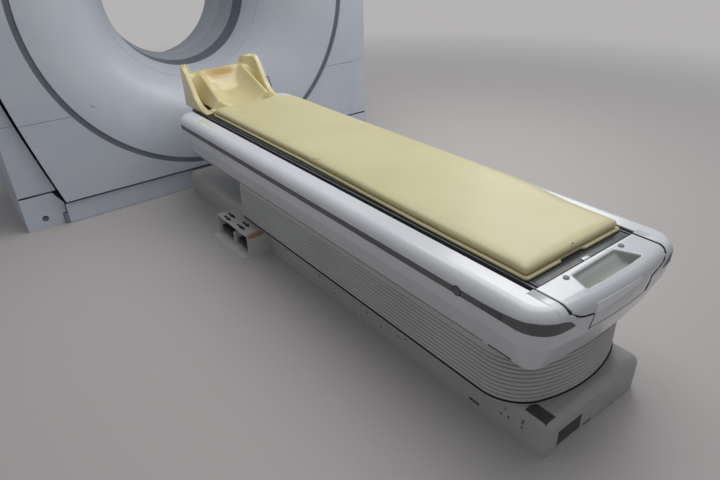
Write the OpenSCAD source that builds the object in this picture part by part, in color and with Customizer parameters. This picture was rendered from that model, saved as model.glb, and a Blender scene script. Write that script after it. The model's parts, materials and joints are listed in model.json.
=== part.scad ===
/* [Room and table] */
// Distance from the foot of the couch to the front face of the gantry
front_run = 2648; // [2640:2:2660]
// Height of the table top above the floor
table_z = 553; // [549:1:557]
// Half width of the couch body at its stripe
body_half_w = 345; // [343:1:347]
// Plan corner radius of the couch body
body_corner_r = 90; // [88:1:95]
// Radius of the bowed foot end of the couch body
body_bow_r = 2011; // [1900:1:2300]
// Half width of the pleated skirt
bellows_half_w = 291; // [288:1:292]
// Corner radius of the skirt at its foot end
skirt_corner_r = 159; // [150:1:165]
// Radius of the bowed foot end of the skirt
skirt_bow_r = 534; // [520:1:600]
// Number of pleats in the skirt
pleats = 10; // [8:1:10]
// Half width of the couch base
base_half_w = 250; // [240:5:255]
// Height of the couch base
base_h = 134; // [130:1:134]

/* [Gantry] */
// Overall width across the two stands
gantry_w = 2330; // [2320:10:2360]
// Depth of the tilting housing
gantry_d = 940; // [930:10:950]
// Overall height
gantry_h = 2090; // [2080:5:2110]
// Height of the scan axis, also the tilt axis
axis_z = 1105; // [1100:1:1108]
// Clear radius of the tunnel at its narrowest
bore_r = 395; // [390:1:398]
// Outer radius of the dark ring in the front face
ring_r = 960; // [950:2:962]
// Radius of the curve that runs from the front face into the tunnel
mouth_r = 549; // [545:1:553]
// Underside of the tilting housing
housing_low = 131; // [129:1:135]
// Height of the seam in the front face
seam_z = 580; // [560:5:600]
// Wall thickness of the housing covers
cover_t = 5; // [4:0.5:6]

/* [Hidden] */
$fn = 96;
fine = 64;
small = 32;
gap = 0.3;
run_fit = 0.08;

// lengths along the couch run from its foot; centred() moves them into the shared frame
total_len = front_run + gantry_d;
function centred(d) = d - total_len / 2;

half_w = gantry_w / 2;
pivot_d = front_run + 500;
face = -500;
rear = gantry_d - 500;

// the housing sides and the stand covers share a cone about the tilt axis
cone_x0 = half_w + 113;
cone_k = 0.3;
side_gap = 5;
function cone_x(rho) = cone_x0 - cone_k * rho;

up = gantry_h - axis_z;
down = housing_low - axis_z;
seam = seam_z - axis_z;
flange = 85;
ring_in = ring_r - 32;
lip_r = 433;
mouth_edge_r = 485;
mouth_cr = lip_r + mouth_r * sin(67);
mouth_ca = face + 5 + mouth_r;

// Piece to show, or all of them

// Moves a piece from the tilt axis into place
module at_pivot() {
    translate([0, centred(pivot_d), axis_z]) children();
}

// Turns a profile of radius and depth about the scan axis
module about_axis() {
    rotate([-90, 0, 0]) rotate_extrude($fn = 128) children();
}

module mirrored() {
    children();
    mirror([1, 0, 0]) children();
}

// Rounded rectangle with its corner centres kept inside
module plan_round(w, l, r) {
    square([w - 2 * r, l], center = true);
    square([w, l - 2 * r], center = true);
    for (sx = [-1, 1], sy = [-1, 1])
        translate([sx * (w / 2 - r), sy * (l / 2 - r)]) circle(r = r, $fn = fine);
}

// Carries a profile round a rounded rectangle; its x runs outwards from the corner centres
module carry_round(w, l, r) {
    hx = w / 2 - r;
    hy = l / 2 - r;
    for (q = [0:3]) {
        a = (q % 2 == 0) ? hx : hy;
        b = (q % 2 == 0) ? hy : hx;
        rotate([0, 0, 90 * q]) {
            translate([a, b, 0]) rotate([90, 0, 0]) linear_extrude(height = 2 * b) children();
            translate([a, b, 0]) rotate_extrude(angle = 90, $fn = fine) children();
        }
    }
}

// Distance along y from the corner centres of a bowed end to the centre of its bow
function bow_rise(w, foot_r, bow_r) = sqrt(pow(bow_r - foot_r, 2) - pow(w / 2 - foot_r, 2));

// Plan with two rounded head corners and a bowed foot end, drawn in by a margin
module plan_bowed(w, l, head_r, foot_r, bow_r, inset) {
    rise = bow_rise(w, foot_r, bow_r);
    by = bow_r - l / 2;
    fx = w / 2 - foot_r;
    hx = w / 2 - head_r;
    hy = l / 2 - head_r;
    translate([inset - w / 2, by - rise]) square([w - 2 * inset, hy - by + rise]);
    translate([-hx, hy - 1]) square([2 * hx, head_r + 1 - inset]);
    for (s = [-1, 1]) {
        translate([s * hx, hy]) circle(r = head_r - inset, $fn = fine);
        translate([s * fx, by - rise]) circle(r = foot_r - inset, $fn = fine);
    }
    intersection() {
        translate([0, by]) circle(r = bow_r - inset, $fn = 256);
        polygon([[0, by], [-2 * fx, by - 2 * rise], [2 * fx, by - 2 * rise]]);
    }
}

// Carries a profile round that plan; its x runs outwards from the rim
module carry_bowed(w, l, head_r, foot_r, bow_r) {
    rise = bow_rise(w, foot_r, bow_r);
    by = bow_r - l / 2;
    fy = by - rise;
    fx = w / 2 - foot_r;
    hx = w / 2 - head_r;
    hy = l / 2 - head_r;
    translate([w / 2, hy, 0]) rotate([90, 0, 0]) linear_extrude(height = hy - fy) children();
    rotate([0, 0, 180]) translate([w / 2, -fy, 0]) rotate([90, 0, 0])
        linear_extrude(height = hy - fy) children();
    rotate([0, 0, 90]) translate([l / 2, hx, 0]) rotate([90, 0, 0])
        linear_extrude(height = 2 * hx) children();
    for (q = [0, 1])
        translate([(1 - 2 * q) * hx, hy, 0]) rotate([0, 0, 90 * q])
            rotate_extrude(angle = 90, $fn = fine) translate([head_r, 0]) children();
    for (s = [-1, 1])
        intersection() {
            translate([s * fx, fy, 0]) rotate_extrude($fn = fine)
                translate([foot_r, 0]) children();
            linear_extrude(height = 1000) polygon([[s * fx, fy], [s * (fx + w), fy],
                [s * (fx + w), fy - rise], [s * 2 * fx, fy - rise]]);
        }
    intersection() {
        translate([0, by, 0]) rotate_extrude($fn = 256) translate([bow_r, 0]) children();
        linear_extrude(height = 1000)
            polygon([[0, by], [-2 * fx, by - 2 * rise], [2 * fx, by - 2 * rise]]);
    }
}

// Box given by its two far corners, lengths along y measured from the couch foot
module run_box(x0, x1, d0, d1, z0, z1) {
    translate([x0, centred(d0), z0]) cube([x1 - x0, d1 - d0, z1 - z0]);
}

// Box given by its far corners, measured from the tilt axis
module axis_box(x0, x1, y0, y1, z0, z1) {
    translate([x0, y0, z0]) cube([x1 - x0, y1 - y0, z1 - z0]);
}

// Solid cone about the tilt axis that bounds the tilting housing, grown by a margin
module tilt_cone(margin, reach) {
    base_r = (cone_x0 + margin) / cone_k;
    end_r = (cone_x0 + margin - reach) / cone_k;
    for (s = [0, 1])
        mirror([s, 0, 0]) rotate([0, 90, 0]) cylinder(h = reach, r1 = base_r, r2 = end_r, $fn = 128);
}

// Half width of the housing at a height from the tilt axis; it stays inside the cone when tilted
function side_x(z) = cone_x(sqrt(pow(face, 2) + pow(z, 2)));

// Front outline of the housing, drawn in by a margin
module housing_outline(inset) {
    top_r = 260;
    top_x = side_x(up) - 0.768 * top_r;
    low = down + inset;
    shoulder = up - top_r + top_r * sin(15) - inset;
    steps = 28;
    zs = [for (i = [0:steps]) low + (shoulder - low) * i / steps];
    right = [for (z = zs) [side_x(z) - inset, z]];
    left = [for (i = [steps:-1:0]) [inset - side_x(zs[i]), zs[i]]];
    polygon(concat(right, left));
    translate([-top_x, low]) square([2 * top_x, up - inset - low]);
    for (s = [-1, 1])
        translate([s * top_x, up - top_r]) circle(r = top_r - inset, $fn = fine);
}

// Solid of the housing between two depths, drawn in by a margin all round
module housing_block(inset, y0, y1) {
    translate([0, y1, 0]) rotate([90, 0, 0]) linear_extrude(height = y1 - y0)
        housing_outline(inset);
}

// Cover with a face plate and a return all round, open at the back
module face_cover(hole_r, y0, y1, plate0, plate1) {
    difference() {
        housing_block(0, y0, y1);
        housing_block(cover_t, plate0, plate1);
        rotate([90, 0, 0]) cylinder(h = 2000, r = hole_r, center = true, $fn = 128);
    }
}

module front_cover_whole() {
    face_cover(ring_r, face, face + flange, face + cover_t, face + flange + 1);
    translate([0, face, 0]) rotate([-90, 0, 0]) difference() {
        cylinder(h = 20, r = ring_r + 4, $fn = 128);
        translate([0, 0, -1]) cylinder(h = 22, r = ring_r, $fn = 128);
    }
}

module front_upper_cover() {
    color("white") at_pivot() intersection() {
        front_cover_whole();
        axis_box(-half_w, half_w, face - 1, 0, seam + 1, up + 1);
    }
}

module front_lower_cover() {
    color("white") at_pivot() intersection() {
        front_cover_whole();
        axis_box(-half_w, half_w, face - 1, 0, down - 1, seam - 1);
    }
}

// Dark ring sunk between the front covers and the dish
module ring_trim() {
    color("dimgray") at_pivot() about_axis() {
        translate([ring_in + gap, face + 10]) square([ring_r - ring_in - 2 * gap, 5]);
        translate([ring_in + gap, face + 15]) square([5, 8]);
    }
}

// Band of the mouth curve between two radii
module mouth_band(r0, r1, y_max) {
    intersection() {
        translate([mouth_cr, mouth_ca]) difference() {
            circle(r = mouth_r, $fn = 128);
            circle(r = mouth_r - cover_t, $fn = 128);
        }
        translate([r0, face]) square([r1 - r0, y_max - face]);
    }
}

module dish_cover() {
    color("white") at_pivot() about_axis() {
        mouth_band(mouth_edge_r + 1, ring_in, mouth_ca);
        translate([ring_in - 5, face + 6]) square([5, 18]);
    }
}

lip_y = mouth_ca - mouth_r * cos(67);

module bore_mouth_ring() {
    color("white") at_pivot() about_axis() mouth_band(lip_r, mouth_edge_r, lip_y);
}

band_r = bore_r + 23;
band_end = lip_y + 100;
window_end = band_end + 140;
funnel_end = rear - 20;

module bore_dark_band() {
    color("gray") at_pivot() about_axis()
        polygon([[lip_r, lip_y + gap], [lip_r + 5, lip_y + gap], [band_r + 4, band_end],
            [band_r, band_end]]);
}

module scan_window() {
    color("gainsboro") at_pivot() about_axis()
        polygon([[band_r, band_end + gap], [band_r + 3, band_end + gap], [bore_r + 3, window_end],
            [bore_r, window_end]]);
}

module bore_rear_funnel() {
    color("white") at_pivot() about_axis()
        polygon([[bore_r, window_end + gap], [bore_r + 4, window_end + gap],
            [bore_r + 4, window_end + 40], [bore_r + 59, funnel_end + 10],
            [bore_r + 81, funnel_end + 10], [bore_r + 81, rear - cover_t - gap],
            [bore_r + 55, rear - cover_t - gap], [bore_r, window_end + 40]]);
}

module rear_cover() {
    color("white") at_pivot()
        face_cover(bore_r + 60, rear - flange, rear, rear - flange - 1, rear - cover_t);
}

crown_low = 440;

module top_cover() {
    color("white") at_pivot() intersection() {
        difference() {
            housing_block(0, face + flange + gap, rear - flange - gap);
            housing_block(cover_t, face, rear);
        }
        axis_box(-half_w, half_w, face, rear, crown_low, up + 1);
    }
}

cap_r = ring_in - 93;

// Round plug over a fixing screw in the dish, set square to its slope
module round_caps() {
    th = asin((mouth_cr - cap_r) / mouth_r);
    color("silver") at_pivot() rotate([0, -215.5, 0])
        translate([cap_r, mouth_ca - mouth_r * cos(th), 0]) rotate([90, 0, 0])
            rotate([0, -th, 0]) translate([0, 0, gap]) cylinder(h = 3, r = 13, $fn = small);
}

frame_hw = half_w - 215;
frame_hh = min(up, -down) - 194;
post_x = frame_hw - 130;
post_z = frame_hh - 60;
frame_y0 = 190;
frame_y1 = 215;
trunnion_r = 60;

// Steel frame that carries the covers and the rotor and hangs on two trunnions
module tilt_frame() {
    color("slategray") at_pivot() {
        difference() {
            translate([0, frame_y1, 0]) rotate([90, 0, 0])
                linear_extrude(height = frame_y1 - frame_y0) plan_round(2 * frame_hw, 2 * frame_hh, 60);
            rotate([90, 0, 0]) cylinder(h = 1000, r = 470, center = true);
        }
        for (sx = [-1, 1], sz = [-1, 1]) {
            axis_box(sx * post_x - 25, sx * post_x + 25, face + cover_t + gap, frame_y0,
                sz * post_z - 25, sz * post_z + 25);
            axis_box(sx * post_x - 25, sx * post_x + 25, frame_y1, rear - cover_t - gap,
                sz * post_z - 25, sz * post_z + 25);
        }
        mirrored() {
            axis_box(frame_hw - 35, frame_hw, -150, frame_y0, -180, 180);
            rotate([0, 90, 0]) translate([0, 0, frame_hw])
                cylinder(h = stand_out - 6 - frame_hw, r = trunnion_r);
        }
    }
}

drum_r = 790;
drum_y0 = 90;
drum_y1 = 115;
race_r = 600;

// Drum plate with its rim and the inner race of the main bearing
module rotor_drum() {
    color("steelblue") at_pivot() about_axis() {
        translate([445, drum_y0]) square([drum_r - 445, drum_y1 - drum_y0]);
        translate([drum_r - 15, -120]) square([15, 120 + drum_y0]);
        translate([530, drum_y1]) square([race_r - run_fit - 530, frame_y0 - 5 - drum_y1]);
        translate([700, drum_y1]) square([60, 12]);
    }
}

module main_bearing_outer() {
    color("silver") at_pivot() about_axis()
        translate([race_r, drum_y1 + 4]) square([60, frame_y0 - gap - drum_y1 - 4]);
}

seat_y = drum_y0 - gap;
tube_r = 640;

module xray_tube() {
    color("darkslategray") at_pivot() {
        translate([0, seat_y, tube_r]) rotate([90, 0, 0]) cylinder(h = 215, r = 108);
        translate([0, -125, tube_r]) rotate([90, 0, 0]) cylinder(h = 25, r = 70);
    }
}

// Jaw box between the tube and the tunnel
module collimator() {
    color("dimgray") at_pivot() difference() {
        axis_box(-90, 90, -60, seat_y, 478, tube_r - 108 - gap);
        axis_box(-45, 45, -12, 12, 470, tube_r);
    }
}

focus_r = 600;

// Detector bank on an arc about the focal spot
module detector_arc() {
    color("darkgreen") at_pivot() translate([0, seat_y, 0]) rotate([90, 0, 0])
        linear_extrude(height = seat_y + 60) intersection() {
            translate([0, focus_r]) difference() {
                circle(r = 1180, $fn = 128);
                circle(r = 1075, $fn = 128);
            }
            polygon([[0, focus_r], [-0.488 * 1400, focus_r - 1400], [0.488 * 1400, focus_r - 1400]]);
        }
}

module hv_generator() {
    color("gray") at_pivot() axis_box(512, 735, -110, seat_y, -180, 180);
}

module data_box() {
    color("darkgray") at_pivot() axis_box(-735, -512, -110, seat_y, -180, 180);
}

module counterweight() {
    color("dimgray") at_pivot() mirrored()
        axis_box(190, 320, seat_y - 91, seat_y, 500, 640);
}

pulley_d = 900;
pulley_r = 45;

module at_pulley() {
    at_pivot() rotate([0, 45, 0]) translate([pulley_d, 0, 0]) children();
}

// Motor with a bored nose that takes the pulley shaft
module drive_motor() {
    color("dimgray") at_pulley() difference() {
        translate([0, frame_y0 - gap, 0]) rotate([90, 0, 0]) cylinder(h = 150, r = 62);
        translate([0, 80, 0]) rotate([90, 0, 0]) cylinder(h = 60, r = 12 + run_fit);
    }
}

module drive_pulley() {
    color("silver") at_pulley() {
        translate([0, 15, 0]) rotate([90, 0, 0]) cylinder(h = 40, r = pulley_r);
        translate([0, 70, 0]) rotate([90, 0, 0]) cylinder(h = 56, r = 12);
    }
}

// Loop round the drum and the pulley, drawn with a given clearance
module belt_loop(c) {
    big = drum_r + c;
    little = pulley_r + c;
    a = acos((big - little) / pulley_d);
    circle(r = big, $fn = 128);
    translate([pulley_d, 0]) circle(r = little, $fn = fine);
    polygon([[0, 0], [big * cos(a), big * sin(a)],
        [pulley_d + little * cos(a), little * sin(a)], [pulley_d, 0],
        [pulley_d + little * cos(a), -little * sin(a)], [big * cos(a), -big * sin(a)]]);
}

module drive_belt() {
    color("black") at_pivot() rotate([0, 45, 0]) translate([0, 12, 0]) rotate([90, 0, 0])
        linear_extrude(height = 34) difference() {
            belt_loop(4.4);
            belt_loop(0.4);
        }
}

// Contact block that stands off the slip ring on the drum
module brush_block() {
    color("black") at_pivot()
        axis_box(-40, 40, drum_y1 + 12.5, frame_y0 - gap, -760, -700);
}

stand_w = 78;
stand_out = half_w - 15;
stand_in = stand_out - stand_w;
beam_h = 60;
block_in = half_w - 208;
frame_in = block_in + 18;
block_h = 190;
cover_y0 = face + 40;
cover_y1 = rear - 30;
skin_t = 5;

// Floor frame: a beam under each stand and two ties kept low under the swing of the housing
module gantry_base_frame() {
    color("slategray") at_pivot() translate([0, 0, -axis_z]) {
        mirrored() difference() {
            axis_box(frame_in, stand_out, cover_y0 + 10, cover_y1 - 10, 0, beam_h);
            axis_box(frame_in + 40, stand_out - 40, cover_y0 + 100, cover_y0 + 200, -1, beam_h + 1);
            for (y = [cover_y0 + 45, cover_y1 - 45])
                translate([frame_in + 88, y, -1]) cylinder(h = beam_h + 2, r = 11, $fn = small);
        }
        axis_box(-frame_in, frame_in, face + 24, face + 80, 0, beam_h);
        axis_box(-frame_in, frame_in, rear - 80, rear - 15, 0, beam_h);
    }
}

head_s = 170;
pad_zs = [-640, -380, 150];

// Steel columns with bored heads for the tilt bearings
module gantry_stands() {
    color("slategray") at_pivot() mirrored() for (z = pad_zs, y = [-105, 85])
        axis_box(stand_out - 1, half_w - skin_t - gap, y, y + 20, z - 30, z + 30);
    color("slategray") at_pivot() mirrored() difference() {
        translate([stand_in, 0, 0]) rotate([90, 0, 90])
            linear_extrude(height = stand_out - stand_in) {
                square([2 * head_s, 2 * head_s], center = true);
                polygon([[-110, 0], [-110, -790], [-400, beam_h - axis_z], [360, beam_h - axis_z],
                    [110, -790], [110, 0]]);
            }
        translate([stand_in - 1, 0, 0]) rotate([0, 90, 0]) cylinder(h = stand_w + 2, r = 112);
        translate([stand_in + 8, 0, 0]) rotate([90, 0, 90])
            linear_extrude(height = stand_out - stand_in)
                polygon([[-80, -230], [-80, -780], [-230, beam_h + 30 - axis_z],
                    [200, beam_h + 30 - axis_z], [80, -780], [80, -230]]);
    }
}

module tilt_bearings() {
    color("silver") at_pivot() mirrored() translate([stand_in + 2, 0, 0]) rotate([0, 90, 0])
        difference() {
            cylinder(h = stand_out - stand_in - 4, r = 112 - gap);
            translate([0, 0, -1]) cylinder(h = 200, r = trunnion_r + run_fit);
        }
}

// Closed housing of the tilt drive on the face of one stand head
module tilt_gearmotor() {
    color("dimgray") at_pivot() {
        axis_box(stand_in + 4, stand_out - 4, -head_s - 110, -head_s - gap, -80, 80);
        translate([stand_out - stand_w / 2, -head_s - 60, 80]) cylinder(h = 130, r = 38);
    }
}

module stand_cover_whole() {
    difference() {
        rotate([90, 0, 90]) linear_extrude(height = half_w)
            cover_side(0);
        translate([-1, 0, 0]) rotate([90, 0, 90]) linear_extrude(height = half_w - skin_t + 1) {
            cover_side(skin_t);
            translate([cover_y0 + skin_t, block_h - axis_z])
                square([cover_y1 - cover_y0 - 2 * skin_t, 60]);
        }
        tilt_cone(side_gap, half_w - 8);
    }
}

// Side view of a stand cover, drawn in by its thickness
module cover_side(inset) {
    r = 110;
    low = block_h + 10 - axis_z;
    translate([cover_y0 + inset, low + inset])
        square([cover_y1 - cover_y0 - 2 * inset, 420 - r - low - inset]);
    translate([cover_y0 + r, low + inset])
        square([cover_y1 - cover_y0 - 2 * r, 420 - low - 2 * inset]);
    for (y = [cover_y0 + r, cover_y1 - r])
        translate([y, 420 - r]) circle(r = r - inset, $fn = fine);
}

module stand_lower_covers() {
    color("white") at_pivot() mirrored() intersection() {
        stand_cover_whole();
        axis_box(0, half_w + 1, cover_y0 - 1, cover_y1 + 1, -axis_z, seam - 1);
    }
}

module stand_upper_covers() {
    color("white") at_pivot() mirrored() intersection() {
        stand_cover_whole();
        axis_box(0, half_w + 1, cover_y0 - 1, cover_y1 + 1, seam + 1, 500);
    }
}

// Covers round the feet of the stands, dished on the inside for the swing of the housing
module stand_foot_covers() {
    t = skin_t;
    color("white") at_pivot() translate([0, 0, -axis_z]) mirrored() difference() {
        translate([0, cover_y1, 0]) rotate([90, 0, 0]) linear_extrude(height = cover_y1 - cover_y0)
            polygon([[block_in, 0], [block_in, 120], [block_in + 43, block_h], [half_w, block_h],
                [half_w, 0]]);
        translate([0, 0, axis_z]) tilt_cone(side_gap, half_w);
        difference() {
            translate([0, cover_y1 - t, 0]) rotate([90, 0, 0])
                linear_extrude(height = cover_y1 - cover_y0 - 2 * t)
                    polygon([[block_in + t, -1], [block_in + t, 118], [block_in + 45, block_h - t],
                        [half_w - t, block_h - t], [half_w - t, -1]]);
            translate([0, 0, axis_z]) tilt_cone(side_gap + t, half_w);
        }
        axis_box(stand_in - 5, half_w - t, cover_y0 + t, cover_y1 - t, 100, block_h + 1);
        axis_box(block_in - 1, block_in + 20, face + 22, face + 82, -1, beam_h + 2);
        axis_box(block_in - 1, block_in + 20, rear - 82, rear - 13, -1, beam_h + 2);
        translate([half_w - 97, cover_y0 + t + 1, 55]) rotate([90, 0, 0]) cylinder(h = 10, r = 17);
    }
}

plinth_top = 115;

// Thin panels that close the floor frame in front and behind, under the housing
module plinth_panels() {
    color("white") at_pivot() translate([0, 0, -axis_z]) {
        axis_box(2 - block_in, block_in - 2, face + 20, face + 24 - gap, 2, plinth_top);
        axis_box(2 - block_in, block_in - 2, rear - 15 + gap, rear - 11, 2, plinth_top - 5);
        for (x = [385 - half_w, half_w - 385])
            translate([x, face + 20 + gap, 86]) rotate([90, 0, 0])
                cylinder(h = 3, r = 11, $fn = small);
    }
}

base_d0 = 18;
base_d1 = front_run - 25;
base_t = 5;
bellows_d0 = 62;
bellows_d1 = 1888;
bellows_r = 72;
bellows_low = base_h + 8;
bellows_top = table_z - 253;
body_d0 = 2;
body_d1 = front_run - 234;
body_low = table_z - 219;
post_ds = [530, 1480];
tube_w = 260;
tube_l = 320;
tube_h = 335;
tube_t = 6;
frame_low = table_z - 98;
post_d = 500;

// Moves a shape to the middle of a run between two lengths
module mid_run(d0, d1) {
    translate([0, centred((d0 + d1) / 2), 0]) children();
}

// Side wall of the base with its rounded top edge
module base_wall(r, t) {
    difference() {
        union() {
            square([r, base_h - r]);
            translate([0, base_h - r]) intersection() {
                circle(r = r, $fn = fine);
                square([r, r]);
            }
        }
        translate([-1, -1]) union() {
            square([r - t + 1, base_h - r + 1]);
            translate([1, base_h - r + 1]) intersection() {
                circle(r = r - t, $fn = fine);
                square([r, r]);
            }
            translate([0, base_h - r]) square([1, r - t + 1]);
        }
    }
}

// Sheet housing on the floor, open inside for the lift columns
module couch_base() {
    r = 28;
    l = base_d1 - base_d0;
    color("gainsboro") difference() {
        mid_run(base_d0, base_d1) {
            carry_round(2 * base_half_w, l, r) base_wall(r, base_t);
            translate([0, 0, base_h - base_t]) linear_extrude(height = base_t)
                square([2 * (base_half_w - r), l - 2 * r], center = true);
        }
        for (d = post_ds)
            run_box(-tube_w / 2 - 4, tube_w / 2 + 4, d - tube_l / 2 - 4, d + tube_l / 2 + 4,
                base_h - 20, base_h + 1);
        base_vent_cut();
        base_side_holes();
    }
}

vent_x = [-239, -195];
vent_d = [33, 110];
face_x = [-190, -70];

module base_vent_cut() {
    run_box(vent_x[0], vent_x[1], vent_d[0], vent_d[1], base_h - 20, base_h + 1);
    run_box(face_x[0], face_x[1], base_d0 - 1, base_d0 + 12, 14, 78);
    run_box(-56, -10, base_d0 - 1, base_d0 + 12, 8, 22);
}

// Fixing holes along the side of the base and one hand slot
module base_side_holes() {
    r = 5;
    spots = [[1476, 28], [1103, 34], [954, 18], [906, 25], [872, 60], [784, 43], [682, 61],
        [158, 66], [104, 93]];
    for (p = spots, s = [0, 1])
        mirror([s, 0, 0]) translate([-base_half_w - 1, centred(p[0]), p[1]]) rotate([0, 90, 0])
            cylinder(h = 12, r = r, $fn = small);
    run_box(-base_half_w - 1, 12 - base_half_w, 274, 319, 19, 31);
}

// Louvred inserts for the vents of the base
module base_vents() {
    n = 9;
    color("gray") {
        run_box(vent_x[0] + gap, vent_x[1] - gap, vent_d[0] + gap, vent_d[1] - gap,
            base_h - 6, base_h - 4);
        for (i = [0:n - 1])
            run_box(vent_x[0] + 2, vent_x[1] - 2, vent_d[0] + 3 + i * 8, vent_d[0] + 7 + i * 8,
                base_h - 4, base_h - 1);
        run_box(face_x[0] + gap, face_x[1] - gap, base_d0 + 3, base_d0 + 6, 14 + gap, 78 - gap);
        for (i = [0:6])
            run_box(face_x[0] + 3, face_x[1] - 3, base_d0 + 1, base_d0 + 3, 18 + i * 8, 22 + i * 8);
    }
}

// Closed drive between the columns that turns both lift screws
module lift_gearmotor() {
    color("dimgray") {
        run_box(-70, 70, 860, 1120, 8, 110);
        for (s = [[post_ds[0] + tube_l / 2 + gap, 860], [1120, post_ds[1] - tube_l / 2 - gap]])
            translate([0, centred(s[0]), 60]) rotate([-90, 0, 0]) cylinder(h = s[1] - s[0], r = 14);
        run_box(-110, 110, 880, 1100, 0, 8);
    }
}

// Square tube of the telescopic columns at one stage
module column_tubes(step, z0, closed_low, closed_top) {
    w = tube_w - 2 * step * (tube_t + gap);
    l = tube_l - 2 * step * (tube_t + gap);
    for (d = post_ds)
        mid_run(d, d) difference() {
            translate([-w / 2, -l / 2, z0]) cube([w, l, tube_h]);
            translate([tube_t - w / 2, tube_t - l / 2, z0 + closed_low - 1])
                cube([w - 2 * tube_t, l - 2 * tube_t, tube_h + 2 - closed_low - closed_top]);
        }
}

module columns_outer() {
    color("silver") {
        column_tubes(0, 8, 0, 0);
        for (d = post_ds)
            run_box(-tube_w / 2 - 60, tube_w / 2 + 60, d - tube_l / 2 - 30, d + tube_l / 2 + 30,
                0, 8);
    }
}

module columns_middle() {
    color("silver") column_tubes(1, frame_low - 390, 0, 0);
}

module columns_inner() {
    color("silver") column_tubes(2, frame_low - tube_h - gap, 0, 0);
}

// Flat ring that the foot of the skirt is fixed to
module bellows_base_frame() {
    l = bellows_d1 - bellows_d0;
    color("gainsboro") mid_run(bellows_d0, bellows_d1)
        translate([0, 0, base_h + gap]) linear_extrude(height = bellows_low - base_h - 2 * gap)
            difference() {
                skirt_plan(0);
                plan_round(2 * bellows_half_w - 180, l - 220, 30);
            }
}

// Plan of the skirt, drawn in by a margin
module skirt_plan(inset) {
    plan_bowed(2 * bellows_half_w, bellows_d1 - bellows_d0, bellows_r, skirt_corner_r,
        skirt_bow_r, inset);
}

// Pleated skirt, a thin wall folded in and out round the columns
module bellows() {
    l = bellows_d1 - bellows_d0;
    step = (bellows_top - bellows_low) / pleats;
    depth = 28;
    t = 2;
    function fold(i) = [(i % 2 == 0) ? -depth : 0, bellows_low + i * step / 2];
    outer = [for (i = [0:2 * pleats]) fold(i)];
    inner = [for (i = [2 * pleats:-1:0]) fold(i) - [t, 0]];
    color("lightgray") mid_run(bellows_d0, bellows_d1)
        carry_bowed(2 * bellows_half_w, l, bellows_r, skirt_corner_r, skirt_bow_r)
            polygon(concat(outer, inner));
}

module bellows_top_frame() {
    l = bellows_d1 - bellows_d0;
    color("lightgray") mid_run(bellows_d0, bellows_d1) {
        translate([0, 0, bellows_top + gap]) linear_extrude(height = 40)
            difference() {
                skirt_plan(4);
                skirt_plan(9);
            }
        translate([0, 0, bellows_top + gap]) linear_extrude(height = 5) difference() {
            skirt_plan(4);
            plan_round(2 * bellows_half_w - 90, l - 260, 30);
        }
        for (x = [-1, 1], y = [-700, -300, 300, 720])
            translate([x * 268 - 6, y - 20, bellows_top + 5]) cube([12, 40,
                frame_low - bellows_top - 5 - gap]);
    }
}

rail_in = 250;
rail_out = 290;
cross_ds = [400, 1000, 1900, 2300];

// Ladder frame of the lifting body with plates over the columns
module couch_frame() {
    z1 = frame_low + 40;
    color("slategray") {
        mirrored() run_box(rail_in, rail_out, body_d0 + 102, body_d1 - 50, frame_low, z1);
        for (d = cross_ds)
            run_box(-rail_in, rail_in, d - 25, d + 25, frame_low, z1);
        for (d = post_ds)
            run_box(-rail_in, rail_in, d - tube_l / 2, d + tube_l / 2, frame_low, frame_low + 10);
        for (d = post_ds)
            run_box(-rail_in, rail_in, d - 25, d + 25, frame_low + 10, z1);
        mirrored() for (d = [200, 700, 1250, 1750, 2250])
            run_box(rail_out, body_half_w - 5.6, d - 15, d + 15, frame_low + 30, z1);
    }
}

body_r = body_corner_r;
body_mid = body_half_w - body_corner_r;
body_l = body_d1 - body_d0;
stripe_z = [table_z - 66, table_z - 43];

// Carries a profile round the plan of the couch body
module carry_body() {
    mid_run(body_d0, body_d1)
        carry_bowed(2 * body_half_w, body_l, body_r, body_r, body_bow_r) children();
}

// Upright section of the couch body between its rim and its corner centres
module body_section(t) {
    shoulder = 40;
    low = body_low - ((t > 0) ? 1 : 0);
    polygon([[-body_r, low], [-47 - t, low], [-10 - t, stripe_z[0] - 55], [-t, stripe_z[0]],
        [-t, table_z - shoulder], [-shoulder, table_z - t], [-body_r, table_z - t]]);
    translate([-shoulder, table_z - shoulder]) circle(r = shoulder - t, $fn = fine);
}

module body_block() {
    carry_body() body_section(0);
    mid_run(body_d0, body_d1) translate([-body_mid - 1, body_r - 19 - body_l / 2, body_low])
        cube([2 * body_mid + 2, body_l - 2 * body_r + 20, table_z - body_low]);
}

// Front view of the end cover, narrow below and widening in a curve to the top
module end_view(g) {
    half = 238 + g;
    slim = 142 + g;
    low = table_z - 110 - g;
    for (s = [0, 1])
        mirror([s, 0, 0]) polygon([[0, low], [slim, low], [slim, table_z - 54 - g],
            [slim + 26, table_z - 50 - g], [slim + 52, table_z - 43 - g],
            [half - 24, table_z - 33 - g], [half - 9, table_z - 21], [half - 2, table_z - 9],
            [half, table_z + 5], [0, table_z + 5]]);
}

end_len = 134;

// Thin-walled body with a stripe groove, open for the table top and the end cover
module couch_shell() {
    t = 5;
    color("white") difference() {
        carry_body() difference() {
            body_section(0);
            body_section(t);
        }
        stripe_band(0);
        translate([0, centred(body_d0 + end_len), 0]) rotate([90, 0, 0])
            linear_extrude(height = end_len + 20) end_view(2.5);
        run_box(-body_mid - 1, body_mid + 1, body_d0 + 3, body_d1 - 8, table_z - 30, table_z + 1);
        run_box(-242, 242, body_d1 - 120, body_d1 + 1, table_z - 42, table_z + 1);
        at_button() cylinder(h = 30, r = 15.5, center = true, $fn = fine);
    }
}

// Turns a shape's z axis out through the left side at the push button
module at_button() {
    translate([-body_half_w, centred(316), table_z - 53]) rotate([0, -90, 0]) children();
}

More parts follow.
